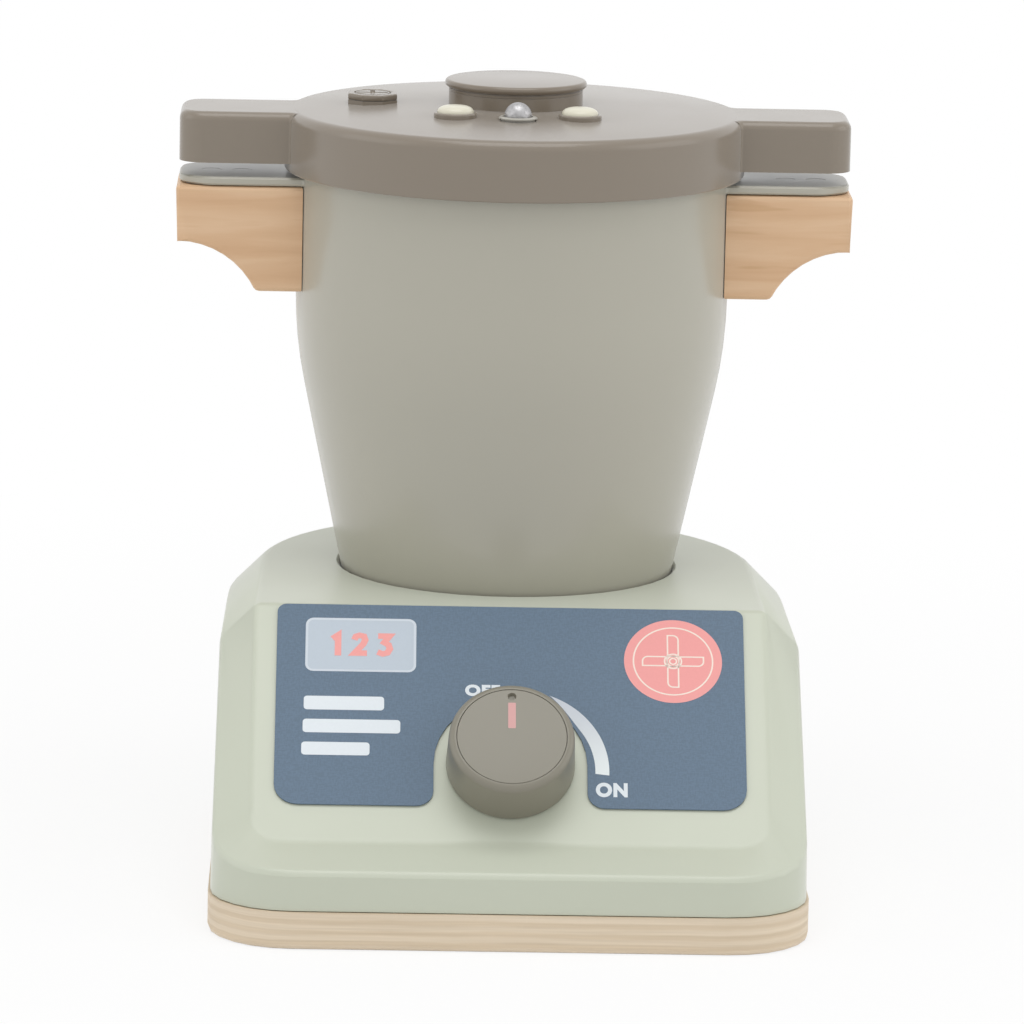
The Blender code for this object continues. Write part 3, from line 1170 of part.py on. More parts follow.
def build_valve(materials, lid):
    """A bright ball on a sprung stem, in a pale ring whose barrel passes through the lid."""
    ring_bottom, ring_top, floor, barrel_bottom = valve_levels()
    place = (0, -VALVE_REACH)
    mouth = VALVE_BARREL_RADIUS - VALVE_BARREL_WALL
    ring = [(VALVE_STEM_RADIUS + GAP, barrel_bottom), (VALVE_BARREL_RADIUS, barrel_bottom),
            (VALVE_BARREL_RADIUS, ring_bottom), (VALVE_RING_RADIUS, ring_bottom),
            (VALVE_RING_RADIUS, ring_top - VALVE_RING_THICKNESS / 2), (mouth + VALVE_BARREL_WALL, ring_top),
            (mouth, ring_top), (mouth, floor), (VALVE_STEM_RADIUS + GAP, floor)]
    ring_object = add_object("valve_ring", lathe(ring, SMALL_STEPS, closed=True),
                             materials["ivory_plastic"], lid)
    ring_object.location = (*place, 0)

    centre = ring_top + VALVE_CENTRE_RISE
    neck = math.asin(VALVE_STEM_RADIUS / VALVE_RADIUS)
    profile = stem_profile(VALVE_STEM_RADIUS, barrel_bottom)
    profile += arc((0, centre), VALVE_RADIUS, neck - math.pi / 2, math.pi / 2, 7)[:-1]
    profile.append((0, centre + VALVE_RADIUS))
    ball = add_object("valve_ball", lathe(profile, SMALL_STEPS), materials["bright_steel"], lid)
    ball.location = (*place, 0)
    build_stem_clip("valve_clip", VALVE_STEM_RADIUS, barrel_bottom, place, materials, lid)

    contact = math.sqrt(VALVE_RADIUS ** 2 - VALVE_SPRING_RADIUS ** 2)
    spring_top = centre - contact - VALVE_WIRE_RADIUS
    spring = coil(VALVE_SPRING_RADIUS, VALVE_WIRE_RADIUS, floor + GAP, spring_top, COIL_TURNS, (0, 0))
    spring_object = add_object("valve_spring", spring, materials["bright_steel"], lid)
    spring_object.location = (*place, 0)


def dial_pad_top():
    inner_reach = math.hypot(DIAL_X, DIAL_Y) - DIAL_PAD_RADIUS
    return dome_height(inner_reach) + DIAL_PAD_RISE


def build_vent_dial(materials, lid):
    """An eight-sided dial with a grooved top, on a stem that a clip keeps under the lid."""
    bottom = dial_pad_top() + GAP
    top = bottom + DIAL_HEIGHT
    turn = math.pi / 8
    corner = DIAL_HALF_FLATS / math.cos(turn)
    rings = []
    for radius, height in ((corner, bottom), (corner, top - DIAL_CHAMFER), (corner - DIAL_CHAMFER, top)):
        octagon = arc((0, 0), radius, turn, turn + 2 * math.pi, 8)[:-1]
        rings.append([(x, y, height) for x, y in octagon])
    dial = add_object("vent_dial", loft(rings), materials["taupe_plastic"], lid)
    dial.location = (DIAL_X, DIAL_Y, 0)
    stem = lathe(stem_profile(DIAL_STEM_RADIUS, DECK_UNDERSIDE)
                 + [(DIAL_STEM_RADIUS, top - DIAL_HEIGHT / 2), (0, top - DIAL_HEIGHT / 2)],
                 TINY_STEPS, centre=(DIAL_X, DIAL_Y))
    join(dial, "dial_stem", stem, lid)
    half_length = DIAL_HALF_FLATS * DIAL_GROOVE_LENGTH_SHARE
    half_width = DIAL_GROOVE_HALF_WIDTH
    bar = [(-half_length, -half_width), (half_length, -half_width),
           (half_length, half_width), (-half_length, half_width)]
    for name, turned in (("dial_groove", bar), ("dial_cross_groove", [(-y, x) for x, y in bar])):
        outline = [(DIAL_X + x, DIAL_Y + y) for x, y in turned]
        groove = prism(outline, top - DIAL_GROOVE_DEPTH, top + OVERRUN)
        cut(dial, name, groove, lid)
    build_stem_clip("vent_dial_clip", DIAL_STEM_RADIUS, DECK_UNDERSIDE, (DIAL_X, DIAL_Y), materials, lid)


def main():
    clear_scene()
    materials = make_materials()
    panel = add_empty("panel_frame", (0, -PANEL_EDGE_REACH, PLATEAU_HEIGHT), (PANEL_ANGLE, 0, 0))
    knob_axis = add_empty("knob_axis", (0, -KNOB_SLOPE_DISTANCE, 0), parent=panel)
    pot_axis = add_empty("pot_axis", (0, 0, POT_BASE))
    rotor_seat = POT_FOOT_HEIGHT + POT_WALL + GAP + WASHER_THICKNESS + GAP
    rotor_axis = add_empty("rotor_axis", (0, 0, rotor_seat), parent=pot_axis)
    lid_axis = add_empty("lid_axis", (0, 0, LID_TOP - POT_BASE), parent=pot_axis)

    build_board(materials)
    build_base_screws(materials)
    build_housing(materials, panel)
    build_label(materials, panel)
    build_knob(materials, knob_axis)
    build_spindle(materials, knob_axis)
    build_detent_disc(materials, knob_axis)
    build_bush(materials, knob_axis)
    build_pot(materials, pot_axis)
    build_handle("left_handle_block", -1, materials, pot_axis)
    build_handle("right_handle_block", 1, materials, pot_axis)
    build_handle_screws(materials, pot_axis)
    build_rotor(materials, rotor_axis)
    build_lid(materials, lid_axis)
    build_filler_cap(materials, lid_axis)
    for side, place in button_places().items():
        build_button(side, place, materials, lid_axis)
    build_valve(materials, lid_axis)
    build_vent_dial(materials, lid_axis)


main()
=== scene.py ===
"""Toy food processor: finishes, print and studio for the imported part, seen as in its photograph."""

import json
import math

import bmesh
import bpy
from mathutils import Matrix, Vector

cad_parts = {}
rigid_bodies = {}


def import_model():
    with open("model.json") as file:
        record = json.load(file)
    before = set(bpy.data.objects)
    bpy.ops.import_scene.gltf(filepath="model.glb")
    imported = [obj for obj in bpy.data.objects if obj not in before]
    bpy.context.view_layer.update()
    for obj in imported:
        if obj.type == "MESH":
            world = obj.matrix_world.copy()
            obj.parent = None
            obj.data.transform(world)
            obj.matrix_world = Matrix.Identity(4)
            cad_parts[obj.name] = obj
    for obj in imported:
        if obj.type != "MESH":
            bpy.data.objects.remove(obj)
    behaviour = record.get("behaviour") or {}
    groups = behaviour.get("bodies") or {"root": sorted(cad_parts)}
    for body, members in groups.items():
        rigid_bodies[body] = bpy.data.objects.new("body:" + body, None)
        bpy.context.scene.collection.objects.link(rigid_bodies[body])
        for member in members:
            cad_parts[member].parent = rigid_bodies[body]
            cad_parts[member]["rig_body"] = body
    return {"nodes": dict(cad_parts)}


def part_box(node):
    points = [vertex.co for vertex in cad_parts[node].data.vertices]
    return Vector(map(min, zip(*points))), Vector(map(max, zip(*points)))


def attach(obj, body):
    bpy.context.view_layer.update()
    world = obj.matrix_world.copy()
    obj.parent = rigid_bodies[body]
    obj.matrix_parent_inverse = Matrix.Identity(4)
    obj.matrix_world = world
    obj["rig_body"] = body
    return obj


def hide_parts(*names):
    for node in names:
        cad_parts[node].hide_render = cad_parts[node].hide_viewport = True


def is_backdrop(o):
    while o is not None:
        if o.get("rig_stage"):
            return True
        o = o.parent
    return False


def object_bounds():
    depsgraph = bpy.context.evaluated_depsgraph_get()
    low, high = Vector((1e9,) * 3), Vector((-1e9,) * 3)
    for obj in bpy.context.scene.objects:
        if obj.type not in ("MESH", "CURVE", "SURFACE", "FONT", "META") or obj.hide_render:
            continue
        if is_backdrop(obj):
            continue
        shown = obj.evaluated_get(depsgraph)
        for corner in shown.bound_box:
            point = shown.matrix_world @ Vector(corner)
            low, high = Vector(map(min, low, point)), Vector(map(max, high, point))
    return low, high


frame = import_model()
cad_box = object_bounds()

# Welded copies of the CAD shapes
WELD = 0.000002
FLAT_ANGLE = math.radians(0.3)
SMOOTH_ANGLE = math.radians(33)

# The panel's own frame: x across, y up the slope, z out of the panel
PANEL_FRAME = Matrix.Translation((0, -0.0717, 0.0928)) @ Matrix.Rotation(math.radians(45), 4, "X")
KNOB_FRAME = PANEL_FRAME @ Matrix.Translation((0, -0.0592, 0))
KNOB_FRAME_DISTANCE = 59.2
LABEL_FACE = 0.0007
PRINT_LIFT = 0.00002
MM = 0.001

# The print on the label in millimetres: across, and down the slope from the plateau's edge
WINDOW_BOX = (-65.2, 5.7, -30.0, 25.8)
WINDOW_ROUND = 2.6
WINDOW_BORDER = 0.8
NUMERALS_BOX = (-58.8, 11.3, -36.1, 19.9)
BAR_BOXES = ((-65.4, 35.1, -40.0, 40.2), (-65.6, 43.7, -34.8, 48.7), (-65.9, 52.2, -44.4, 57.0))
BAR_ROUND = 1.1
SIGN_CENTRE = (51.7, 20.1)
SIGN_RADIUS = 15.6
SIGN_RING_RADIUS = 12.6
SIGN_LINE = 0.5
SIGN_ARM_REACH = 9.7
SIGN_ARM_HALF_WIDTH = 1.7
SIGN_HUB_RADIUS = 1.9
SIGN_HUB_RINGS = (2.7, 1.1)
DIAL_ARC_START = 26
DIAL_ARC_END = 97
DIAL_ARC_OUTER = (28.3, 31.3)
DIAL_ARC_WIDTH = 4.4
DIAL_ARC_WIDENING = 0.5
DIAL_ARC_FOOT = 63.0
ON_BOX = (26.8, 65.7, 36.8, 71.0)
OFF_BOX = (-14.4, 30.0, -3.3, 34.3)
LETTER_WEIGHT = 0.055
LETTER_SPACING = 1.12
FADE_HEIGHTS = (0.048, 0.070)
NUMERAL_WEIGHT = 2.1
NUMERAL_STROKES = {
    "1": ((0.28, 0.26), (0.52, 0.1), (0.52, 1.0)),
    "2": ((0.2, 0.3), (0.27, 0.15), (0.42, 0.1), (0.6, 0.14), (0.66, 0.3), (0.58, 0.48),
          (0.22, 0.88), (0.74, 0.88)),
    "3": ((0.2, 0.12), (0.68, 0.12), (0.46, 0.4), (0.64, 0.5), (0.7, 0.68), (0.6, 0.85),
          (0.4, 0.9), (0.18, 0.82)),
}

# Knob, in its own frame
KNOB_RADIUS = 0.0203
KNOB_TOP_RADIUS = 0.0198
KNOB_HEIGHT = 0.017
KNOB_FLOAT = 0.0006
KNOB_ROUND = 0.0024
KNOB_HOLLOW_RADIUS = 0.0169
KNOB_HOLLOW_HEIGHT = 0.0065
KNOB_CAP_RADIUS = 0.01726
KNOB_SEAM = 0.00012
KNOB_SEAM_DEPTH = 0.0016
KNOB_CAP_EDGE = 0.00025
DIMPLE_OFFSET = 0.0147
DIMPLE_RADIUS = 0.0014
DIMPLE_FLOOR_RADIUS = DIMPLE_RADIUS * 0.7
DIMPLE_DEPTH = 0.0011
POINTER_HALF_WIDTH = 0.0012
POINTER_REACH = (0.0030, 0.0124)
POINTER_DEPTH = 0.0006

# Fittings on the lid
LID_TOP = 0.2430
CAP_BOTTOM = 0.2496
CAP_RADIUS = 0.0231
CAP_THICKNESS = 0.0037
CAP_STEP = 0.0012
CAP_GROOVE = 0.0004
CAP_CUP_RADIUS = 0.0187
CAP_CUP_WALL = 0.002
CAP_CUP_BOTTOM = 0.2309
COLLAR_RADIUS = 0.0218
COLLAR_TOP = 0.00655
FILLER_RADIUS = 0.019
FILLER_SLEEVE_DEPTH = 0.006
LID_RADIUS = 0.075
LID_WALL = 0.0024
LID_DROP = 0.0195
LID_DOME_RISE = 0.0025
LID_DOME_RADIUS = 0.073
LID_EDGE_ROUND = 0.0033
LID_EAR_DEPTH = 0.0165
LID_EAR_TIP_RADIUS = 0.008
LID_EAR_ROUND = 0.0028
LID_EAR_FILLET = 0.0010
LID_EAR_RIB = 0.0009
EAR_REACH = 0.109
EAR_HALF_WIDTH = 0.0175
COLLAR_ROUND = 0.0006
COLLAR_EDGE = 0.00015
OVERRUN = 0.001
BUTTON_PLACES = {"left": (-0.01999, -0.03149), "right": (0.01999, -0.03149)}
BUTTON_RADIUS = 0.0059
BUTTON_CROWN = 0.2486
BUTTON_RISE = 0.0022
BUTTON_FULLNESS = 0.6
BUTTON_SKIRT = 0.0075
BUTTON_WALL = 0.0012
BUTTON_COLLAR_RADIUS = 0.0070
BUTTON_COLLAR_TOP = 0.24635
BUTTON_POCKET_RADIUS = 0.00605
BUTTON_POCKET_DEPTH = 0.0068
BUTTON_POCKET_FLOOR = 0.0018
BUTTON_CUP_RADIUS = 0.008
BUTTON_CEILING = 0.2461
BUTTON_STEM_RADIUS = 0.002
STEM_CLEARANCE = 0.0003
STEM_TAIL = 0.0012
STEM_GROOVE_HEIGHT = 0.00125
STEM_GROOVE_DEPTH = 0.0004
VALVE_HOLE_RADIUS = 0.0058
DIAL_PLACE = (-0.0466, 0.003)
DIAL_HALF_FLATS = 0.008
DIAL_TOP = 0.24767
DIAL_SEAT = 0.24567
DIAL_CHAMFER = 0.0005
DIAL_PAD_HALF_FLATS = 0.00795
DIAL_GAP = 0.00005
DIAL_STEM_RADIUS = 0.0024
DIAL_STEM_OVERLAP = 0.0005
DIAL_GROOVE_REACH = DIAL_HALF_FLATS * 0.62
DIAL_GROOVE_HALF_WIDTH = 0.0008
DIAL_GROOVE_DEPTH = 0.0004
DIAL_RING_RADII = (0.0055, 0.0061)
DIAL_RING_DEPTH = 0.0003
VALVE_PLACE = (0, -0.0367)
VALVE_BALL_RADIUS = 0.0044
VALVE_BALL_HEIGHT = 0.24617
VALVE_STEM_RADIUS = 0.0015

# Turned shapes: how many steps go round each
KNOB_STEPS = 96
DIMPLE_STEPS = 24
LID_STEPS = 144
CAP_STEPS = 128
BUTTON_STEPS = 64
COLLAR_STEPS = 61
POCKET_STEPS = 48
DIAL_RING_STEPS = 64
VALVE_HOLE_STEPS = 47
STEM_STEPS = 32
STEM_HOLE_STEPS = 31
SIGN_STEPS = 119
SMALL_SIGN_STEPS = 35
DIAL_ARC_STEPS = 40
DOME_STEPS = 12

# Painted screws in the pot's ears
HANDLE_SCREWS = ("left_handle_screw_1", "left_handle_screw_2", "right_handle_screw_1",
                 "right_handle_screw_2")
SCREW_WIDENING = 1.083
SCREW_LIFT = 0.00015

# Looks
HAZE_ROUGHNESS = 0.3
GLOSS_SPREAD = 0.015
PLY_PAIR = 0.0120 / 3.5
PLY_WAVER = 0.0003
WHITE = (1, 1, 1, 1)
NODE_FINISHES = {"valve_ring": "ring_taupe", **dict.fromkeys(HANDLE_SCREWS, "painted_screw")}

# Studio and camera
FLOOR_HALF_SIZE = 12
FLOOR_GLOW = (0.78, 1.0)
FLOOR_GLOW_REACH = (0.15, 0.6)
WORLD_STRENGTH = 0.65
CAMERA_PLACE = (-0.051915, -2.136422, 0.532368)
CAMERA_ANGLES = (78.8065, -1.1958, -1.1994)
CAMERA_LENS = 232.24
SENSOR_WIDTH = 36

# CAD nodes that a finer piece stands for
dressed = set()


def srgb(red, green, blue):
    """A colour given as 0 to 255 in sRGB, made linear."""
    linear = []
    for value in (red, green, blue):
        share = value / 255
        linear.append(share / 12.92 if share <= 0.04045 else ((share + 0.055) / 1.055) ** 2.4)
    return tuple(linear)


def tint(colour, factor):
    """A lighter or darker version of a linear colour."""
    return tuple(min(channel * factor, 1.0) for channel in colour)


class Finish:
    """A Principled material whose textures lie in the object's own coordinates."""

    def __init__(self, name, roughness, metallic=0.0):
        self.material = bpy.data.materials.new(name)
        self.material.use_nodes = True
        self.tree = self.material.node_tree
        self.shader = self.tree.nodes["Principled BSDF"]
        self.shader.inputs["Roughness"].default_value = roughness
        self.shader.inputs["Metallic"].default_value = metallic
        self.place = self.node("ShaderNodeTexCoord").outputs["Object"]

    def node(self, kind, inputs=None, **settings):
        """Adds a node. Its inputs are set directly, or linked where a socket is given."""
        node = self.tree.nodes.new(kind)
        for name, value in settings.items():
            setattr(node, name, value)
        for name, value in (inputs or {}).items():
            self.feed(node, name, value)
        return node

    def feed(self, node, name, value):
        """Links a socket to a node's input, or sets the input to a value."""
        socket = node.inputs[name]
        if isinstance(value, bpy.types.NodeSocket):
            self.tree.links.new(value, socket)
        else:
            socket.default_value = value

    def noise(self, scale, stretch=(1, 1, 1), turn=(0, 0, 0), detail=3.0, distortion=0.0):
        """Noise with so many cells to the metre, stretched and turned."""
        mapping = self.node("ShaderNodeMapping",
                            {"Vector": self.place, "Scale": stretch, "Rotation": turn})
        texture = self.node("ShaderNodeTexNoise",
                            {"Vector": mapping.outputs["Vector"], "Scale": scale,
                             "Detail": detail, "Distortion": distortion})
        return texture.outputs["Fac"]

    def ramp(self, factor, stops):
        """A colour ramp over stops of (position, linear colour)."""
        node = self.node("ShaderNodeValToRGB", {"Fac": factor})
        elements = node.color_ramp.elements
        for element, (position, colour) in zip(elements, (stops[0], stops[-1])):
            element.position = position
            element.color = (*colour, 1)
        for position, colour in stops[1:-1]:
            element = elements.new(position)
            element.color = (*colour, 1)
        return node.outputs["Color"]

    def spread(self, factor, low, high, start=0.3, end=0.7):
        """Maps a factor's middle range to values between low and high."""
        node = self.node("ShaderNodeMapRange",
                         {"Value": factor, "From Min": start, "From Max": end,
                          "To Min": low, "To Max": high},
                         interpolation_type="SMOOTHSTEP")
        return node.outputs["Result"]

    def mix(self, factor, first, second, blend="MIX"):
        node = self.node("ShaderNodeMix", data_type="RGBA", blend_type=blend)
        for index, value in ((0, factor), (6, first), (7, second)):
            socket = node.inputs[index]
            if isinstance(value, bpy.types.NodeSocket):
                self.tree.links.new(value, socket)
            else:
                socket.default_value = value if index == 0 else (*value, 1)
        return node.outputs[2]

    def colour(self, value):
        self.feed(self.shader, "Base Color", value)

    def mottle(self, colour, amount, scale):
        """The colour with soft, faint lighter and darker patches."""
        stops = [(0.0, tint(colour, 1 - amount)), (1.0, tint(colour, 1 + amount))]
        self.colour(self.ramp(self.spread(self.noise(scale), 0, 1, start=0.2, end=0.8), stops))

    def vary_roughness(self, low, high, scale):
        self.feed(self.shader, "Roughness", self.spread(self.noise(scale), low, high))

    def bump(self, height, strength, distance):
        node = self.node("ShaderNodeBump",
                         {"Height": height, "Strength": strength, "Distance": distance})
        self.feed(self.shader, "Normal", node.outputs["Normal"])


def moulded(name, colour, roughness, haze=0.0):
    """Smooth moulded plastic: faint clouding, slightly uneven gloss, a fine skin and haze."""
    finish = Finish(name, roughness)
    finish.shader.inputs["Sheen Weight"].default_value = haze
    finish.shader.inputs["Sheen Roughness"].default_value = HAZE_ROUGHNESS
    finish.mottle(colour, amount=0.006, scale=30)
    finish.vary_roughness(roughness - GLOSS_SPREAD, roughness + GLOSS_SPREAD, scale=45)
    finish.bump(finish.noise(900, detail=1.0), strength=0.012, distance=0.00005)
    return finish.material


def metal(name, colour, roughness):
    """Turned metal with fine rings about the upright axis and a little wear."""
    finish = Finish(name, roughness, metallic=1.0)
    finish.mottle(colour, amount=0.06, scale=220)
    finish.vary_roughness(roughness * 0.7, roughness * 1.4, scale=900)
    finish.bump(finish.noise(900, stretch=(1, 1, 6)), strength=0.08, distance=0.0001)
    return finish.material


def cast_metal(name, colour, roughness):
    """Dull bright metal, mottled like a tumbled casting."""
    finish = Finish(name, roughness, metallic=1.0)
    finish.mottle(colour, amount=0.16, scale=900)
    finish.vary_roughness(roughness * 0.8, roughness * 1.3, scale=1400)
    finish.bump(finish.noise(1500), strength=0.25, distance=0.0001)
    return finish.material


def beech():
    """Beech with its grain along the block, in soft bands with short darker flecks."""
    finish = Finish("beech", roughness=0.5)
    bands = finish.noise(34, stretch=(0.35, 3.2, 4.5), turn=(0, math.radians(-3), 0), detail=5,
                         distortion=0.4)
    base = finish.ramp(bands, [(0.25, srgb(212, 171, 132)), (0.45, srgb(221, 183, 145)),
                               (0.6, srgb(228, 193, 157)), (0.8, srgb(216, 176, 137))])
    flecks = finish.noise(260, stretch=(0.12, 1, 1), detail=2)
    dark = finish.ramp(flecks, [(0.60, (1, 1, 1)), (0.70, (0.90, 0.86, 0.80))])
    finish.colour(finish.mix(1.0, base, dark, "MULTIPLY"))
    finish.bump(flecks, strength=0.12, distance=0.0002)
    return finish.material


def birch_plywood():
    """Seven plies seen at the edge, light and dark by turns, with wavering joints and streaks."""
    finish = Finish("birch_plywood", roughness=0.55)
    height = finish.node("ShaderNodeSeparateXYZ", {"Vector": finish.place}).outputs["Z"]
    waver = finish.spread(finish.noise(38, stretch=(1, 1, 2), detail=4), -PLY_WAVER, PLY_WAVER)
    level = finish.node("ShaderNodeMath", {0: height, 1: waver}, operation="ADD").outputs[0]
    plies = finish.node("ShaderNodeMath", {0: level, 1: PLY_PAIR}, operation="DIVIDE").outputs[0]
    wave = finish.node("ShaderNodeMath", {0: plies}, operation="FRACT").outputs[0]
    light, dark = srgb(229, 213, 190), srgb(221, 203, 177)
    base = finish.ramp(wave, [(0.0, light), (0.36, light), (0.54, dark), (0.84, dark), (1.0, light)])
    streaks = finish.noise(60, stretch=(0.4, 0.4, 22), detail=6)
    shade = finish.ramp(streaks, [(0.3, (0.84, 0.82, 0.79)), (0.7, (1.02, 1.02, 1.02))])
    finish.colour(finish.mix(0.7, base, shade, "MULTIPLY"))
    finish.bump(streaks, strength=0.1, distance=0.0001)
    return finish.material


def label_print():
    """The printed sheet: blue grey with a fine woven grain."""
    finish = Finish("label_print", roughness=0.5)
    across = finish.noise(2400, stretch=(1, 0.3, 0.3), detail=2)
    along = finish.noise(2400, stretch=(0.3, 1, 1), detail=2)
    weave = finish.node("ShaderNodeMath", {0: across, 1: along}, operation="ADD").outputs[0]
    colour = srgb(87, 109, 130)
    grain = finish.spread(weave, 0, 1, start=0.8, end=1.2)
    finish.colour(finish.ramp(grain, [(0.0, tint(colour, 0.93)), (1.0, tint(colour, 1.07))]))
    finish.bump(weave, strength=0.03, distance=0.00005)
    return finish.material


def ink(name, colour):
    """Screen-printed ink, a little uneven."""
    finish = Finish(name, roughness=0.5)
    finish.mottle(colour, amount=0.012, scale=1200)
    return finish.material


def fading_ink(name, high, low):
    """Ink that fades from one colour at the arc's start to another at its foot."""
    finish = Finish(name, roughness=0.5)
    height = finish.node("ShaderNodeSeparateXYZ", {"Vector": finish.place}).outputs["Z"]
    finish.colour(finish.ramp(finish.spread(height, 0, 1, *FADE_HEIGHTS), [(0, low), (1, high)]))
    return finish.material


def make_finishes():
    """Every finish of the model by name."""
    pot = {"colour": srgb(178, 175, 162), "roughness": 0.24, "haze": 0.25}
    return {
        "sage_plastic": moulded("sage_plastic", srgb(199, 204, 187), roughness=0.36, haze=0.5),
        "taupe_plastic": moulded("taupe_plastic", srgb(136, 126, 113), roughness=0.23, haze=0.45),
        "cap_taupe": moulded("cap_taupe", srgb(131, 120, 106), roughness=0.2, haze=0.4),
        "knob_taupe": moulded("knob_taupe", srgb(134, 130, 117), roughness=0.34),
        "ring_taupe": moulded("ring_taupe", srgb(176, 173, 164), roughness=0.3),
        "pot_plastic": moulded("pot_plastic", **pot),
        "painted_screw": moulded("painted_screw", **pot),
        "ivory_plastic": moulded("ivory_plastic", srgb(225, 221, 202), roughness=0.3),
        "pink_plastic": moulded("pink_plastic", srgb(208, 156, 153), roughness=0.4),
        "nylon": moulded("nylon", srgb(226, 224, 218), roughness=0.4),
        "seal_rubber": moulded("seal_rubber", srgb(196, 192, 182), roughness=0.6),
        "label_print": label_print(),
        "birch_plywood": birch_plywood(),
        "beech": beech(),
        "brass": metal("brass", srgb(206, 178, 120), roughness=0.3),
        "bright_steel": metal("bright_steel", srgb(214, 213, 211), roughness=0.16),
        "ball_steel": cast_metal("ball_steel", srgb(172, 171, 172), roughness=0.42),
        "screw_steel": metal("screw_steel", srgb(150, 150, 152), roughness=0.35),
    }


def add_mesh(name, bm, material, smooth=SMOOTH_ANGLE):
    """Turns a bmesh into an object, shaded smooth except at its sharp edges."""
    mesh = bpy.data.meshes.new(name)
    bm.to_mesh(mesh)
    bm.free()
    mesh.shade_smooth()
    mesh.set_sharp_from_angle(angle=smooth)
    if material:
        mesh.materials.append(material)
    obj = bpy.data.objects.new(name, mesh)
    bpy.context.scene.collection.objects.link(obj)
    return obj


def arc(centre, radius, start, end, steps):
    """Points on an arc in degrees, both ends included."""
    points = []
    for step in range(steps + 1):
        angle = math.radians(start + (end - start) * step / steps)
        points.append((centre[0] + radius * math.cos(angle), centre[1] + radius * math.sin(angle)))
    return points


def rounded_box(box, radius, steps=6):
    """A rectangle (left, top, right, bottom) with round corners."""
    left, top, right, bottom = box
    points = arc((right - radius, bottom - radius), radius, 0, 90, steps)
    points += arc((left + radius, bottom - radius), radius, 90, 180, steps)
    points += arc((left + radius, top + radius), radius, 180, 270, steps)
    return points + arc((right - radius, top + radius), radius, 270, 360, steps)


def inset_box(box, margin):
    left, top, right, bottom = box
    return left + margin, top + margin, right - margin, bottom - margin


def mitre(before, after):
    """The sideways reach at the corner between two directions, for a line of even width."""
    first, second = Vector((-before.y, before.x)), Vector((-after.y, after.x))
    return (first + second) / (1 + first.dot(second))


def outline_strip(points, width):
    """The outer and inner edge of a line of some width along a closed path."""
    edges = ([], [])
    for index, point in enumerate(points):
        here = Vector(point)
        before = (here - Vector(points[index - 1])).normalized()
        after = (Vector(points[(index + 1) % len(points)]) - here).normalized()
        reach = mitre(before, after) * width / 2
        edges[0].append(tuple(here + reach))
        edges[1].append(tuple(here - reach))
    return list(edges)


def open_strip(points, width):
    """The outline of a line of some width along an open path, its ends cut square."""
    sides = ([], [])
    for index, point in enumerate(points):
        here = Vector(point)
        last = index + 1 == len(points)
        after = None if last else (Vector(points[index + 1]) - here).normalized()
        before = (here - Vector(points[index - 1])).normalized() if index else after
        reach = mitre(before, after or before) * width / 2
        sides[0].append(tuple(here + reach))
        sides[1].append(tuple(here - reach))
    return sides[0] + sides[1][::-1]


def lathe(profile, steps, closed=False, centre=(0, 0)):
    """A profile of (radius, height) turned about an upright axis."""
    bm = bmesh.new()
    verts = [bm.verts.new((centre[0] + radius, centre[1], height)) for radius, height in profile]
    pairs = list(zip(verts, verts[1:]))
    if closed:
        pairs.append((verts[-1], verts[0]))
    edges = [bm.edges.new(pair) for pair in pairs]
    bmesh.ops.spin(bm, geom=verts + edges, axis=(0, 0, 1), cent=(*centre, 0), angle=2 * math.pi,
                   steps=steps, use_merge=True)
    bmesh.ops.remove_doubles(bm, verts=bm.verts, dist=WELD)
    bmesh.ops.recalc_face_normals(bm, faces=bm.faces)
    return bm


def prism(outline, bottom, top):
    bm = bmesh.new()
    low = [bm.verts.new((x, y, bottom)) for x, y in outline]
    high = [bm.verts.new((x, y, top)) for x, y in outline]
    bm.faces.new(low)
    bm.faces.new(high)
    for index in range(len(outline)):
        after = (index + 1) % len(outline)
        bm.faces.new((low[index], low[after], high[after], high[index]))
    bmesh.ops.recalc_face_normals(bm, faces=bm.faces)
    return bm


def bake(piece):
    """Makes a piece's modifiers part of its mesh."""
    graph = bpy.context.evaluated_depsgraph_get()
    mesh = bpy.data.meshes.new_from_object(piece.evaluated_get(graph))
    piece.modifiers.clear()
    piece.data = mesh


def combine(piece, bm, operation):
    """Joins a shape to a piece, or cuts it out of the piece."""
    cutter = add_mesh("cutter", bm, piece.data.materials[0] if piece.data.materials else None)
    modifier = piece.modifiers.new("combined", "BOOLEAN")
    modifier.operation = operation
    modifier.solver = "EXACT"
    modifier.object = cutter
    bake(piece)
    bpy.data.objects.remove(cutter)
    piece.data.set_sharp_from_angle(angle=SMOOTH_ANGLE)


def soften(piece, width, segments=3):
    """Rounds a piece's sharp edges."""
    modifier = piece.modifiers.new("rounded edges", "BEVEL")
    modifier.width = width
    modifier.segments = segments
    modifier.limit_method = "ANGLE"
    modifier.angle_limit = SMOOTH_ANGLE
    modifier.harden_normals = True


def shade_evenly(piece):
    """Keeps flat faces flat beside their rounded edges."""
    normals = piece.modifiers.new("even shading", "WEIGHTED_NORMAL")
    normals.keep_sharp = True


def stand_for(piece, body, slot, *nodes):
    """Hangs a finished piece on its body, in place of the CAD nodes that it stands for."""
    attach(piece, body)
    if nodes:
        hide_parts(*nodes)
        dressed.update(nodes)


def add_print(name, outlines, layer, material, slot="label_print"):
    """A printed shape on the label, in the label's millimetres. Inner outlines are holes."""
    bm = bmesh.new()
    for outline in outlines:
        verts = [bm.verts.new((x * MM, -y * MM, 0)) for x, y in outline]
        for index, vert in enumerate(verts):
            bm.edges.new((vert, verts[(index + 1) % len(verts)]))
    bmesh.ops.triangle_fill(bm, use_beauty=True, edges=bm.edges)
    finish_print(name, bm, layer, material, slot)


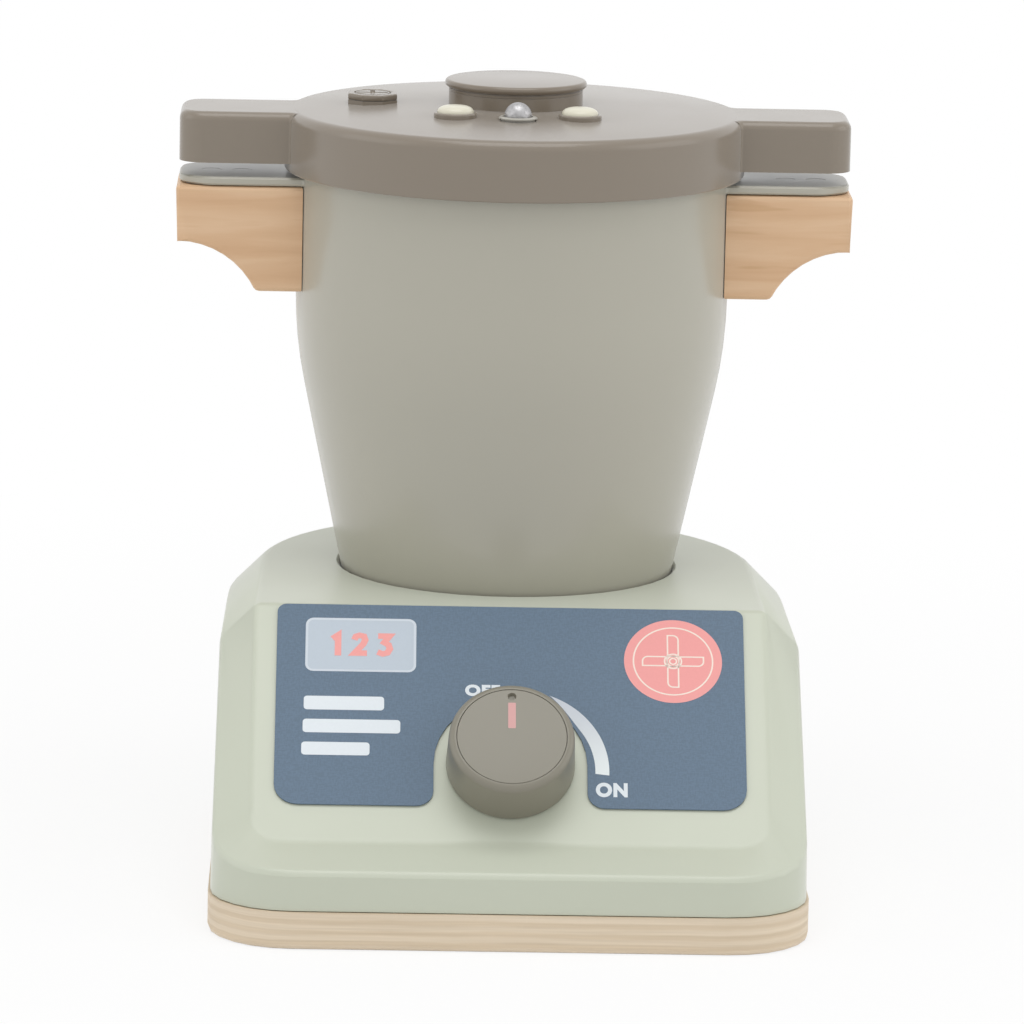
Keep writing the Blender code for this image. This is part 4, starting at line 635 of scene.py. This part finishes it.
def finish_print(name, bm, layer, material, slot):
    """Lays a flat shape on the label, face up and so many ink layers high."""
    height = LABEL_FACE + PRINT_LIFT * layer
    bmesh.ops.recalc_face_normals(bm, faces=bm.faces)
    if sum(face.normal.z * face.calc_area() for face in bm.faces) < 0:
        bmesh.ops.reverse_faces(bm, faces=bm.faces)
    bm.transform(PANEL_FRAME @ Matrix.Translation((0, 0, height)))
    stand_for(add_mesh(name, bm, material), "base", slot)


def add_lettering(name, text, box, layer, material, weight):
    """Bold letters fitted to a box of the label."""
    data = bpy.data.curves.new(name, "FONT")
    data.body = text
    data.offset = weight
    data.space_character = LETTER_SPACING
    source = bpy.data.objects.new(name, data)
    bpy.context.scene.collection.objects.link(source)
    graph = bpy.context.evaluated_depsgraph_get()
    mesh = bpy.data.meshes.new_from_object(source.evaluated_get(graph))
    bpy.data.objects.remove(source)
    bm = bmesh.new()
    bm.from_mesh(mesh)
    low = [min(vert.co[axis] for vert in bm.verts) for axis in (0, 1)]
    high = [max(vert.co[axis] for vert in bm.verts) for axis in (0, 1)]
    left, top, right, bottom = box
    for vert in bm.verts:
        across = (vert.co.x - low[0]) / (high[0] - low[0])
        up = (vert.co.y - low[1]) / (high[1] - low[1])
        vert.co = ((left + (right - left) * across) * MM, -(bottom - (bottom - top) * up) * MM, 0)
    finish_print(name, bm, layer, material, "label_print")


def print_window(inks):
    add_print("window_border", [rounded_box(WINDOW_BOX, WINDOW_ROUND)], 1, inks["border"])
    field = rounded_box(inset_box(WINDOW_BOX, WINDOW_BORDER), WINDOW_ROUND - WINDOW_BORDER)
    add_print("window_field", [field], 2, inks["window"])
    left, top, right, bottom = NUMERALS_BOX
    cell = (right - left) / len(NUMERAL_STROKES)
    for place, (digit, stroke) in enumerate(NUMERAL_STROKES.items()):
        points = [(left + cell * (place + x), top + (bottom - top) * y) for x, y in stroke]
        add_print("window_numeral_" + digit, [open_strip(points, NUMERAL_WEIGHT)], 3, inks["rose"])


def print_bars(inks):
    for number, box in enumerate(BAR_BOXES, 1):
        add_print(f"menu_bar_{number}", [rounded_box(box, BAR_ROUND)], 1, inks["white"])


def sign_arm(turn):
    """One blade of the sign: a bar beside the hub's centre line with one round outer corner."""
    start = math.sqrt(SIGN_HUB_RADIUS ** 2 - (SIGN_ARM_HALF_WIDTH / 2) ** 2) + SIGN_LINE / 2
    corner = SIGN_ARM_HALF_WIDTH
    points = [(start, -SIGN_ARM_HALF_WIDTH), (SIGN_ARM_REACH, -SIGN_ARM_HALF_WIDTH)]
    points += arc((SIGN_ARM_REACH - corner, SIGN_ARM_HALF_WIDTH - corner), corner, 0, 90, 6)
    points.append((start, SIGN_ARM_HALF_WIDTH))
    angle = math.radians(turn)
    return [(SIGN_CENTRE[0] + x * math.cos(angle) - y * math.sin(angle),
             SIGN_CENTRE[1] + x * math.sin(angle) + y * math.cos(angle)) for x, y in points]


def print_sign(inks):
    round_degrees = 360 * SIGN_STEPS / (SIGN_STEPS + 1)
    small_round_degrees = 360 * SMALL_SIGN_STEPS / (SMALL_SIGN_STEPS + 1)
    disc = arc(SIGN_CENTRE, SIGN_RADIUS, 0, round_degrees, SIGN_STEPS)
    add_print("rotor_sign_disc", [disc], 1, inks["pink"])
    lines = [arc(SIGN_CENTRE, SIGN_RING_RADIUS, 0, round_degrees, SIGN_STEPS),
             arc(SIGN_CENTRE, SIGN_HUB_RADIUS, 0, small_round_degrees, SMALL_SIGN_STEPS)]
    lines += [sign_arm(turn) for turn in (0, 90, 180, 270)]
    lines += [arc(SIGN_CENTRE, radius, 0, small_round_degrees, SMALL_SIGN_STEPS)
              for radius in SIGN_HUB_RINGS]
    for number, line in enumerate(lines, 1):
        add_print(f"rotor_sign_line_{number}", outline_strip(line, SIGN_LINE), 2, inks["cream"])


def print_dial_arc(inks):
    """The band that widens round the knob from off to on."""
    outer, inner = [], []
    for step in range(DIAL_ARC_STEPS + 1):
        share = step / DIAL_ARC_STEPS
        angle = math.radians(DIAL_ARC_START + (DIAL_ARC_END - DIAL_ARC_START) * share)
        reach = DIAL_ARC_OUTER[0] + (DIAL_ARC_OUTER[1] - DIAL_ARC_OUTER[0]) * share
        width = DIAL_ARC_WIDTH * math.sin(min(share / DIAL_ARC_WIDENING, 1) * math.pi / 2)
        for edge, radius in ((outer, reach), (inner, reach - width)):
            down = min(KNOB_FRAME_DISTANCE - radius * math.cos(angle), DIAL_ARC_FOOT)
            edge.append((radius * math.sin(angle), down))
    add_print("dial_arc", [outer + inner[:0:-1]], 1, inks["arc"])


def print_label():
    """Everything that is printed on the panel's sheet."""
    inks = {
        "border": ink("window_border_ink", srgb(205, 213, 222)),
        "window": ink("window_ink", srgb(187, 198, 209)),
        "rose": ink("rose_ink", srgb(240, 160, 155)),
        "white": ink("white_ink", srgb(224, 231, 236)),
        "pink": ink("pink_ink", srgb(238, 158, 155)),
        "cream": ink("cream_ink", srgb(244, 226, 214)),
        "arc": fading_ink("arc_ink", srgb(198, 204, 213), srgb(232, 239, 240)),
    }
    print_window(inks)
    print_bars(inks)
    print_sign(inks)
    print_dial_arc(inks)
    add_lettering("on_mark", "ON", ON_BOX, 1, inks["white"], LETTER_WEIGHT)
    add_lettering("off_mark", "OFF", OFF_BOX, 1, inks["white"], LETTER_WEIGHT)


def dress_knob(finishes):
    """The knob's body with its hollow, its inset face with a dimple, and the pointer bar."""
    taupe = finishes["knob_taupe"]
    seat = KNOB_HEIGHT - KNOB_SEAM_DEPTH
    recess = KNOB_CAP_RADIUS + KNOB_SEAM
    profile = [(0, seat), (recess, seat), (recess, KNOB_HEIGHT - KNOB_CAP_EDGE / 2),
               (recess + KNOB_CAP_EDGE / 2, KNOB_HEIGHT)]
    profile += arc((KNOB_TOP_RADIUS - KNOB_ROUND, KNOB_HEIGHT - KNOB_ROUND), KNOB_ROUND, 90, 0, 8)
    profile += [(KNOB_RADIUS, KNOB_FLOAT + KNOB_CAP_EDGE), (KNOB_RADIUS - KNOB_CAP_EDGE, KNOB_FLOAT),
                (KNOB_HOLLOW_RADIUS, KNOB_FLOAT), (KNOB_HOLLOW_RADIUS, KNOB_HOLLOW_HEIGHT),
                (0, KNOB_HOLLOW_HEIGHT)]
    bm = lathe(profile, KNOB_STEPS)
    bm.transform(KNOB_FRAME)
    stand_for(add_mesh("knob_body_look", bm, taupe), "knob", "taupe_plastic", "knob_body")

    top = [(0, seat), (KNOB_CAP_RADIUS, seat)]
    top += arc((KNOB_CAP_RADIUS - KNOB_CAP_EDGE, KNOB_HEIGHT - KNOB_CAP_EDGE), KNOB_CAP_EDGE, 0, 90, 4)
    cap = add_mesh("knob_cap_look", lathe(top + [(0, KNOB_HEIGHT)], KNOB_STEPS), taupe)
    floor = KNOB_HEIGHT - DIMPLE_DEPTH
    dimple = [(0, floor), (DIMPLE_FLOOR_RADIUS, floor), (DIMPLE_RADIUS, KNOB_HEIGHT),
              (DIMPLE_RADIUS, KNOB_HEIGHT + MM), (0, KNOB_HEIGHT + MM)]
    combine(cap, lathe(dimple, DIMPLE_STEPS, centre=(0, DIMPLE_OFFSET)), "DIFFERENCE")
    cap.data.transform(KNOB_FRAME)
    stand_for(cap, "knob", "taupe_plastic", "knob_cap")

    inner, outer = POINTER_REACH
    bar = rounded_box((-POINTER_HALF_WIDTH, inner, POINTER_HALF_WIDTH, outer), POINTER_HALF_WIDTH / 4)
    bm = prism(bar, KNOB_HEIGHT - POINTER_DEPTH, KNOB_HEIGHT + PRINT_LIFT)
    bm.transform(KNOB_FRAME)
    pointer = add_mesh("knob_pointer_look", bm, finishes["pink_plastic"])
    stand_for(pointer, "knob", "pink_plastic", "knob_pointer")


def dome_height(radius):
    """The lid's shallow dome, above its top edge."""
    return LID_DOME_RISE * (1 - (radius / LID_DOME_RADIUS) ** 2)


def lid_section():
    """Collar, dome, rounded edge, skirt and the filler's sleeve, with heights from LID_TOP."""
    rolled = LID_RADIUS - LID_EDGE_ROUND
    inner = LID_RADIUS - LID_WALL
    section = [(FILLER_RADIUS, COLLAR_TOP)]
    section += arc((COLLAR_RADIUS - COLLAR_EDGE, COLLAR_TOP - COLLAR_EDGE), COLLAR_EDGE, 90, 0, 4)
    for step in range(DOME_STEPS + 1):
        radius = COLLAR_RADIUS + (rolled - COLLAR_RADIUS) * step / DOME_STEPS
        section.append((radius, dome_height(radius)))
    top = dome_height(rolled)
    section += arc((rolled, top - LID_EDGE_ROUND), LID_EDGE_ROUND, 82, 0, 8)
    section += arc((LID_RADIUS - COLLAR_ROUND, COLLAR_ROUND - LID_DROP), COLLAR_ROUND, 0, -90, 3)
    return section + [(inner, -LID_DROP), (inner, -LID_WALL), (COLLAR_RADIUS, -LID_WALL),
                      (COLLAR_RADIUS, -FILLER_SLEEVE_DEPTH), (FILLER_RADIUS, -FILLER_SLEEVE_DEPTH)]


def ear_plan(side, root_radius):
    """An ear's plan from the lid's wall round its tip, with a small fillet at the root."""
    hub = LID_RADIUS + LID_EAR_FILLET
    rise = EAR_HALF_WIDTH + LID_EAR_FILLET
    across = math.sqrt(hub ** 2 - rise ** 2)
    lean = math.degrees(math.atan2(rise, across))
    tip = EAR_REACH - LID_EAR_TIP_RADIUS
    flank = EAR_HALF_WIDTH - LID_EAR_TIP_RADIUS
    lower = arc((across, -rise), LID_EAR_FILLET, 180 - lean, 90, 5)
    lower += arc((tip, -flank), LID_EAR_TIP_RADIUS, -90, 0, 12)
    outline = lower + [(x, -y) for x, y in reversed(lower)]
    root = math.sqrt(root_radius ** 2 - outline[0][1] ** 2)
    outline += [(root, -outline[0][1]), (root, outline[0][1])]
    return [(side * x, y) for x, y in outline]


def ear_block(side):
    """An ear's body, run in under the lid's rounded edge and with its own upper edge rolled."""
    root_radius = LID_RADIUS - LID_EDGE_ROUND - OVERRUN
    block = add_mesh("ear", prism(ear_plan(side, root_radius), -LID_EAR_DEPTH, 0), None)
    modifier = block.modifiers.new("rolled edge", "BEVEL")
    modifier.limit_method = "WEIGHT"
    modifier.width = LID_EAR_ROUND
    modifier.segments = 6
    modifier.use_clamp_overlap = False
    weights = block.data.attributes.new("bevel_weight_edge", "FLOAT", "EDGE")
    root = root_radius * math.cos(math.asin(EAR_HALF_WIDTH / root_radius))
    for edge in block.data.edges:
        ends = [block.data.vertices[index].co for index in edge.vertices]
        outermost = max(abs(end.x) for end in ends)
        if min(end.z for end in ends) > -OVERRUN and outermost > root + OVERRUN / 2:
            weights.data[edge.index].value = 1.0
    bake(block)
    inner = LID_RADIUS - LID_WALL
    room = [(0, -LID_DROP), (inner, -LID_DROP), (inner, -LID_WALL), (0, -LID_WALL)]
    combine(block, lathe(room, LID_STEPS), "DIFFERENCE")
    bm = bmesh.new()
    bm.from_mesh(block.data)
    bpy.data.objects.remove(block)
    return bm


def ear_pockets(side):
    """The two hollows under an ear, with a rib left between them."""
    half = EAR_HALF_WIDTH - LID_WALL
    tip = EAR_REACH - LID_WALL
    corner = LID_EAR_TIP_RADIUS - LID_WALL
    for flank in (-1, 1):
        outline = [(LID_RADIUS, LID_EAR_RIB), (tip, LID_EAR_RIB)]
        outline += arc((tip - corner, half - corner), corner, 0, 90, 6) + [(LID_RADIUS, half)]
        yield prism([(side * x, flank * y) for x, y in outline], -LID_EAR_DEPTH - OVERRUN, -LID_WALL)


def octagon(half_flats):
    """The dial's eight corners."""
    return arc(DIAL_PLACE, half_flats / math.cos(math.pi / 8), 22.5, 337.5, 7)


def add_button_pockets(lid):
    """A collar, a cup and a pocket with a stem's hole for each button."""
    rise = BUTTON_COLLAR_TOP - LID_TOP
    cup_bottom = -BUTTON_POCKET_DEPTH - BUTTON_POCKET_FLOOR
    stem_hole = BUTTON_STEM_RADIUS + STEM_CLEARANCE
    for place in BUTTON_PLACES.values():
        collar = [(0, cup_bottom), (BUTTON_CUP_RADIUS, cup_bottom), (BUTTON_CUP_RADIUS, -LID_WALL / 2),
                  (BUTTON_COLLAR_RADIUS, -LID_WALL / 2)]
        collar += arc((BUTTON_COLLAR_RADIUS - COLLAR_ROUND, rise - COLLAR_ROUND), COLLAR_ROUND,
                      0, 90, 4)
        combine(lid, lathe(collar + [(0, rise)], COLLAR_STEPS, centre=place), "UNION")
        pocket = [(0, cup_bottom - OVERRUN), (stem_hole, cup_bottom - OVERRUN),
                  (stem_hole, -BUTTON_POCKET_DEPTH), (BUTTON_POCKET_RADIUS, -BUTTON_POCKET_DEPTH),
                  (BUTTON_POCKET_RADIUS, rise + OVERRUN), (0, rise + OVERRUN)]
        combine(lid, lathe(pocket, POCKET_STEPS, centre=place), "DIFFERENCE")


def add_dial_pad(lid):
    """The dial's raised seat with a hole for its stem."""
    seat = DIAL_SEAT - LID_TOP
    combine(lid, prism(octagon(DIAL_PAD_HALF_FLATS), -LID_WALL / 2, seat - DIAL_GAP), "UNION")
    stem_hole = DIAL_STEM_RADIUS + STEM_CLEARANCE
    hole = [(0, -LID_WALL - OVERRUN), (stem_hole, -LID_WALL - OVERRUN), (stem_hole, seat + OVERRUN),
            (0, seat + OVERRUN)]
    combine(lid, lathe(hole, STEM_HOLE_STEPS, centre=DIAL_PLACE), "DIFFERENCE")


def dress_lid(finishes):
    """The round lid with its ears, pockets, holes and the dial's seat."""
    lid = add_mesh("lid_look", lathe(lid_section(), LID_STEPS, closed=True), finishes["taupe_plastic"])
    for side in (-1, 1):
        combine(lid, ear_block(side), "UNION")
        for pocket in ear_pockets(side):
            combine(lid, pocket, "DIFFERENCE")
    add_button_pockets(lid)
    hole = [(0, -FILLER_SLEEVE_DEPTH), (VALVE_HOLE_RADIUS, -FILLER_SLEEVE_DEPTH),
            (VALVE_HOLE_RADIUS, COLLAR_TOP), (0, COLLAR_TOP)]
    combine(lid, lathe(hole, VALVE_HOLE_STEPS, centre=VALVE_PLACE), "DIFFERENCE")
    add_dial_pad(lid)
    lid.data.transform(Matrix.Translation((0, 0, LID_TOP)))
    shade_evenly(lid)
    stand_for(lid, "lid", "taupe_plastic", "lid")


def stem_end(radius, tail):
    """A stem's lower end from its tail up, with the groove that its clip sits in."""
    groove = radius - STEM_GROOVE_DEPTH
    low = tail + STEM_TAIL
    high = low + STEM_GROOVE_HEIGHT
    return [(0, tail), (radius, tail), (radius, low), (groove, low), (groove, high), (radius, high)]


def dress_buttons(finishes):
    """Ivory buttons, broad and softly domed."""
    skirt = BUTTON_CROWN - BUTTON_SKIRT
    inner = BUTTON_RADIUS - BUTTON_WALL
    for side, place in BUTTON_PLACES.items():
        section = stem_end(BUTTON_STEM_RADIUS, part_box(side + "_button")[0][2])
        section += [(BUTTON_STEM_RADIUS, BUTTON_CEILING), (inner, BUTTON_CEILING), (inner, skirt),
                    (BUTTON_RADIUS, skirt)]
        for x, y in arc((0, 0), 1, 0, 90, 12):
            radius = BUTTON_RADIUS * x ** BUTTON_FULLNESS
            section.append((radius, BUTTON_CROWN - BUTTON_RISE * (1 - y)))
        section[-1] = (0, BUTTON_CROWN)
        bm = lathe(section, BUTTON_STEPS, centre=place)
        piece = add_mesh(side + "_button_look", bm, finishes["ivory_plastic"])
        stand_for(piece, side + "_button", "ivory_plastic", side + "_button")


def dress_dial(finishes):
    """The vent dial: a raised octagon with two crossing grooves and a ring cut in its top."""
    dial = add_mesh("vent_dial_look", prism(octagon(DIAL_HALF_FLATS), DIAL_SEAT, DIAL_TOP),
                    finishes["taupe_plastic"])
    soften(dial, DIAL_CHAMFER)
    bake(dial)
    x, y = DIAL_PLACE
    for across, up in ((DIAL_GROOVE_REACH, DIAL_GROOVE_HALF_WIDTH),
                       (DIAL_GROOVE_HALF_WIDTH, DIAL_GROOVE_REACH)):
        groove = [(x - across, y - up), (x + across, y - up), (x + across, y + up),
                  (x - across, y + up)]
        combine(dial, prism(groove, DIAL_TOP - DIAL_GROOVE_DEPTH, DIAL_TOP + OVERRUN), "DIFFERENCE")
    inner, outer = DIAL_RING_RADII
    ring = [(inner, DIAL_TOP - DIAL_RING_DEPTH), (outer, DIAL_TOP - DIAL_RING_DEPTH),
            (outer, DIAL_TOP + OVERRUN), (inner, DIAL_TOP + OVERRUN)]
    combine(dial, lathe(ring, DIAL_RING_STEPS, closed=True, centre=DIAL_PLACE), "DIFFERENCE")
    stem = stem_end(DIAL_STEM_RADIUS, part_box("vent_dial")[0][2])
    stem += [(DIAL_STEM_RADIUS, DIAL_SEAT + DIAL_STEM_OVERLAP), (0, DIAL_SEAT + DIAL_STEM_OVERLAP)]
    combine(dial, lathe(stem, STEM_STEPS, centre=DIAL_PLACE), "UNION")
    stand_for(dial, "dial", "taupe_plastic", "vent_dial")


def dress_cap(finishes):
    """The filler's cap: a full-round rim, a nearly flat top and the cup under it."""
    half = (CAP_THICKNESS - CAP_STEP) / 2
    middle = CAP_BOTTOM + CAP_STEP + half
    inner = CAP_CUP_RADIUS - CAP_CUP_WALL
    underside = middle - half
    neck = COLLAR_RADIUS - CAP_GROOVE
    profile = [(0, middle), (inner, middle), (inner, CAP_CUP_BOTTOM), (CAP_CUP_RADIUS, CAP_CUP_BOTTOM),
               (CAP_CUP_RADIUS, CAP_BOTTOM), (COLLAR_RADIUS, CAP_BOTTOM),
               (COLLAR_RADIUS, underside - CAP_GROOVE), (neck, underside - CAP_GROOVE),
               (neck, underside)]
    profile += arc((CAP_RADIUS - half, middle), half, -90, 90, 12) + [(0, CAP_BOTTOM + CAP_THICKNESS)]
    piece = add_mesh("filler_cap_look", lathe(profile, CAP_STEPS), finishes["cap_taupe"])
    stand_for(piece, "cap", "taupe_plastic", "filler_cap")


def dress_valve(finishes):
    """The bright ball on its stem."""
    bm = bmesh.new()
    place = Matrix.Translation((*VALVE_PLACE, VALVE_BALL_HEIGHT))
    bmesh.ops.create_icosphere(bm, subdivisions=5, radius=VALVE_BALL_RADIUS, matrix=place)
    profile = stem_end(VALVE_STEM_RADIUS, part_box("valve_ball")[0][2])
    profile += [(VALVE_STEM_RADIUS, VALVE_BALL_HEIGHT), (0, VALVE_BALL_HEIGHT)]
    stem = lathe(profile, STEM_STEPS, centre=VALVE_PLACE)
    ball = add_mesh("valve_ball_look", bm, finishes["ball_steel"])
    combine(ball, stem, "UNION")
    stand_for(ball, "valve", "bright_steel", "valve_ball")


def smooth_node(name, finishes):
    """Stands for a CAD node: the same shape, welded and shaded smooth between its facets."""
    node = frame["nodes"][name]
    slot = node.material_slots[0].material.name
    finish = finishes[NODE_FINISHES.get(name, slot)]
    bm = bmesh.new()
    bm.from_mesh(node.data)
    bmesh.ops.remove_doubles(bm, verts=bm.verts, dist=WELD)
    bmesh.ops.dissolve_limit(bm, angle_limit=FLAT_ANGLE, verts=bm.verts, edges=bm.edges)
    piece = add_mesh(name + "_look", bm, finish)
    shade_evenly(piece)
    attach(piece, node["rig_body"])
    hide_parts(name)
    return piece


def fill_countersink(piece, name):
    """Widens and raises a screw until only a hairline is left between it and the ear."""
    low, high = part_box(name)
    middle = [(low[axis] + high[axis]) / 2 for axis in (0, 1)]
    for vert in piece.data.vertices:
        for axis in (0, 1):
            vert.co[axis] = middle[axis] + (vert.co[axis] - middle[axis]) * SCREW_WIDENING
        if vert.co.z > high[2] - SCREW_LIFT:
            vert.co.z += SCREW_LIFT


def dress_nodes(finishes):
    """Every CAD node that no finer piece stands for."""
    for name in sorted(set(frame["nodes"]) - dressed):
        piece = smooth_node(name, finishes)
        if name in HANDLE_SCREWS:
            fill_countersink(piece, name)


def add_floor():
    """A white floor that takes soft shadows near the model and glows white further out."""
    bm = bmesh.new()
    bmesh.ops.create_grid(bm, x_segments=1, y_segments=1, size=FLOOR_HALF_SIZE)
    finish = Finish("floor", roughness=0.9)
    finish.mottle(srgb(246, 246, 246), amount=0.005, scale=3)
    finish.shader.inputs["Specular IOR Level"].default_value = 0
    tree = finish.tree
    paths = finish.node("ShaderNodeLightPath")
    seen = finish.node("ShaderNodeMath",
                       {0: paths.outputs["Is Camera Ray"], 1: paths.outputs["Is Glossy Ray"]},
                       operation="MAXIMUM").outputs[0]
    distance = finish.node("ShaderNodeVectorMath", {0: finish.place}, operation="LENGTH")
    reach = distance.outputs["Value"]
    away = finish.spread(reach, *FLOOR_GLOW, *FLOOR_GLOW_REACH)
    share = finish.node("ShaderNodeMath", {0: seen, 1: away}, operation="MULTIPLY").outputs[0]
    glow = finish.node("ShaderNodeEmission", {"Color": WHITE, "Strength": 1.0})
    blend = finish.node("ShaderNodeMixShader", {0: share})
    tree.links.new(finish.shader.outputs[0], blend.inputs[1])
    tree.links.new(glow.outputs[0], blend.inputs[2])
    tree.links.new(blend.outputs[0], tree.nodes["Material Output"].inputs["Surface"])
    add_mesh("floor", bm, finish.material)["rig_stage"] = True


def add_world():
    """White wherever it is seen, mirrored or shone through, and dimmer as the light it gives."""
    world = bpy.data.worlds.new("studio")
    bpy.context.scene.world = world
    world.use_nodes = True
    tree = world.node_tree
    seen = tree.nodes["Background"]
    light = tree.nodes.new("ShaderNodeBackground")
    for background, strength in ((seen, 1.0), (light, WORLD_STRENGTH)):
        background.inputs["Color"].default_value = WHITE
        background.inputs["Strength"].default_value = strength
    paths = tree.nodes.new("ShaderNodeLightPath")
    factor = paths.outputs["Is Camera Ray"]
    for ray in ("Is Glossy Ray", "Is Transmission Ray"):
        either = tree.nodes.new("ShaderNodeMath")
        either.operation = "MAXIMUM"
        tree.links.new(factor, either.inputs[0])
        tree.links.new(paths.outputs[ray], either.inputs[1])
        factor = either.outputs[0]
    blend = tree.nodes.new("ShaderNodeMixShader")
    tree.links.new(factor, blend.inputs[0])
    tree.links.new(light.outputs[0], blend.inputs[1])
    tree.links.new(seen.outputs[0], blend.inputs[2])
    tree.links.new(blend.outputs[0], tree.nodes["World Output"].inputs["Surface"])


def add_lamp(name, place, aim, size, power):
    """A rectangular lamp at a place, turned to the point it aims at."""
    data = bpy.data.lights.new(name, "AREA")
    data.shape = "RECTANGLE"
    data.size, data.size_y = size
    data.energy = power
    lamp = bpy.data.objects.new(name, data)
    bpy.context.scene.collection.objects.link(lamp)
    lamp.location = place
    lamp.rotation_euler = (Vector(aim) - Vector(place)).to_track_quat("-Z", "Y").to_euler()


def add_studio():
    add_floor()
    add_world()
    add_lamp("left_softbox", place=(-2.0, -0.4, 0.9), aim=(0, 0, 0.12), size=(1.5, 1.5), power=5)
    add_lamp("right_softbox", place=(2.0, -0.4, 0.9), aim=(0, 0, 0.12), size=(1.7, 1.6), power=7.5)
    add_lamp("top_softbox", place=(0, -0.5, 2.4), aim=(0, 0, 0.1), size=(1.7, 1.7), power=20)


def add_camera():
    data = bpy.data.cameras.new("camera")
    data.sensor_width = SENSOR_WIDTH
    data.lens = CAMERA_LENS
    camera = bpy.data.objects.new("camera", data)
    bpy.context.scene.collection.objects.link(camera)
    camera.location = CAMERA_PLACE
    camera.rotation_euler = [math.radians(angle) for angle in CAMERA_ANGLES]
    bpy.context.scene.camera = camera


def write_sizes():
    """Lists the corners of the CAD box and of the finished model's box; nothing keeps the result."""
    boxes = {"cad": cad_box, "visual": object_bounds()}
    {name: [list(corner) for corner in box] for name, box in boxes.items()}


def main():
    bpy.context.scene.view_settings.view_transform = "Standard"
    finishes = make_finishes()
    print_label()
    dress_knob(finishes)
    dress_cap(finishes)
    dress_lid(finishes)
    dress_buttons(finishes)
    dress_dial(finishes)
    dress_valve(finishes)
    dress_nodes(finishes)
    add_studio()
    add_camera()
    write_sizes()


main()
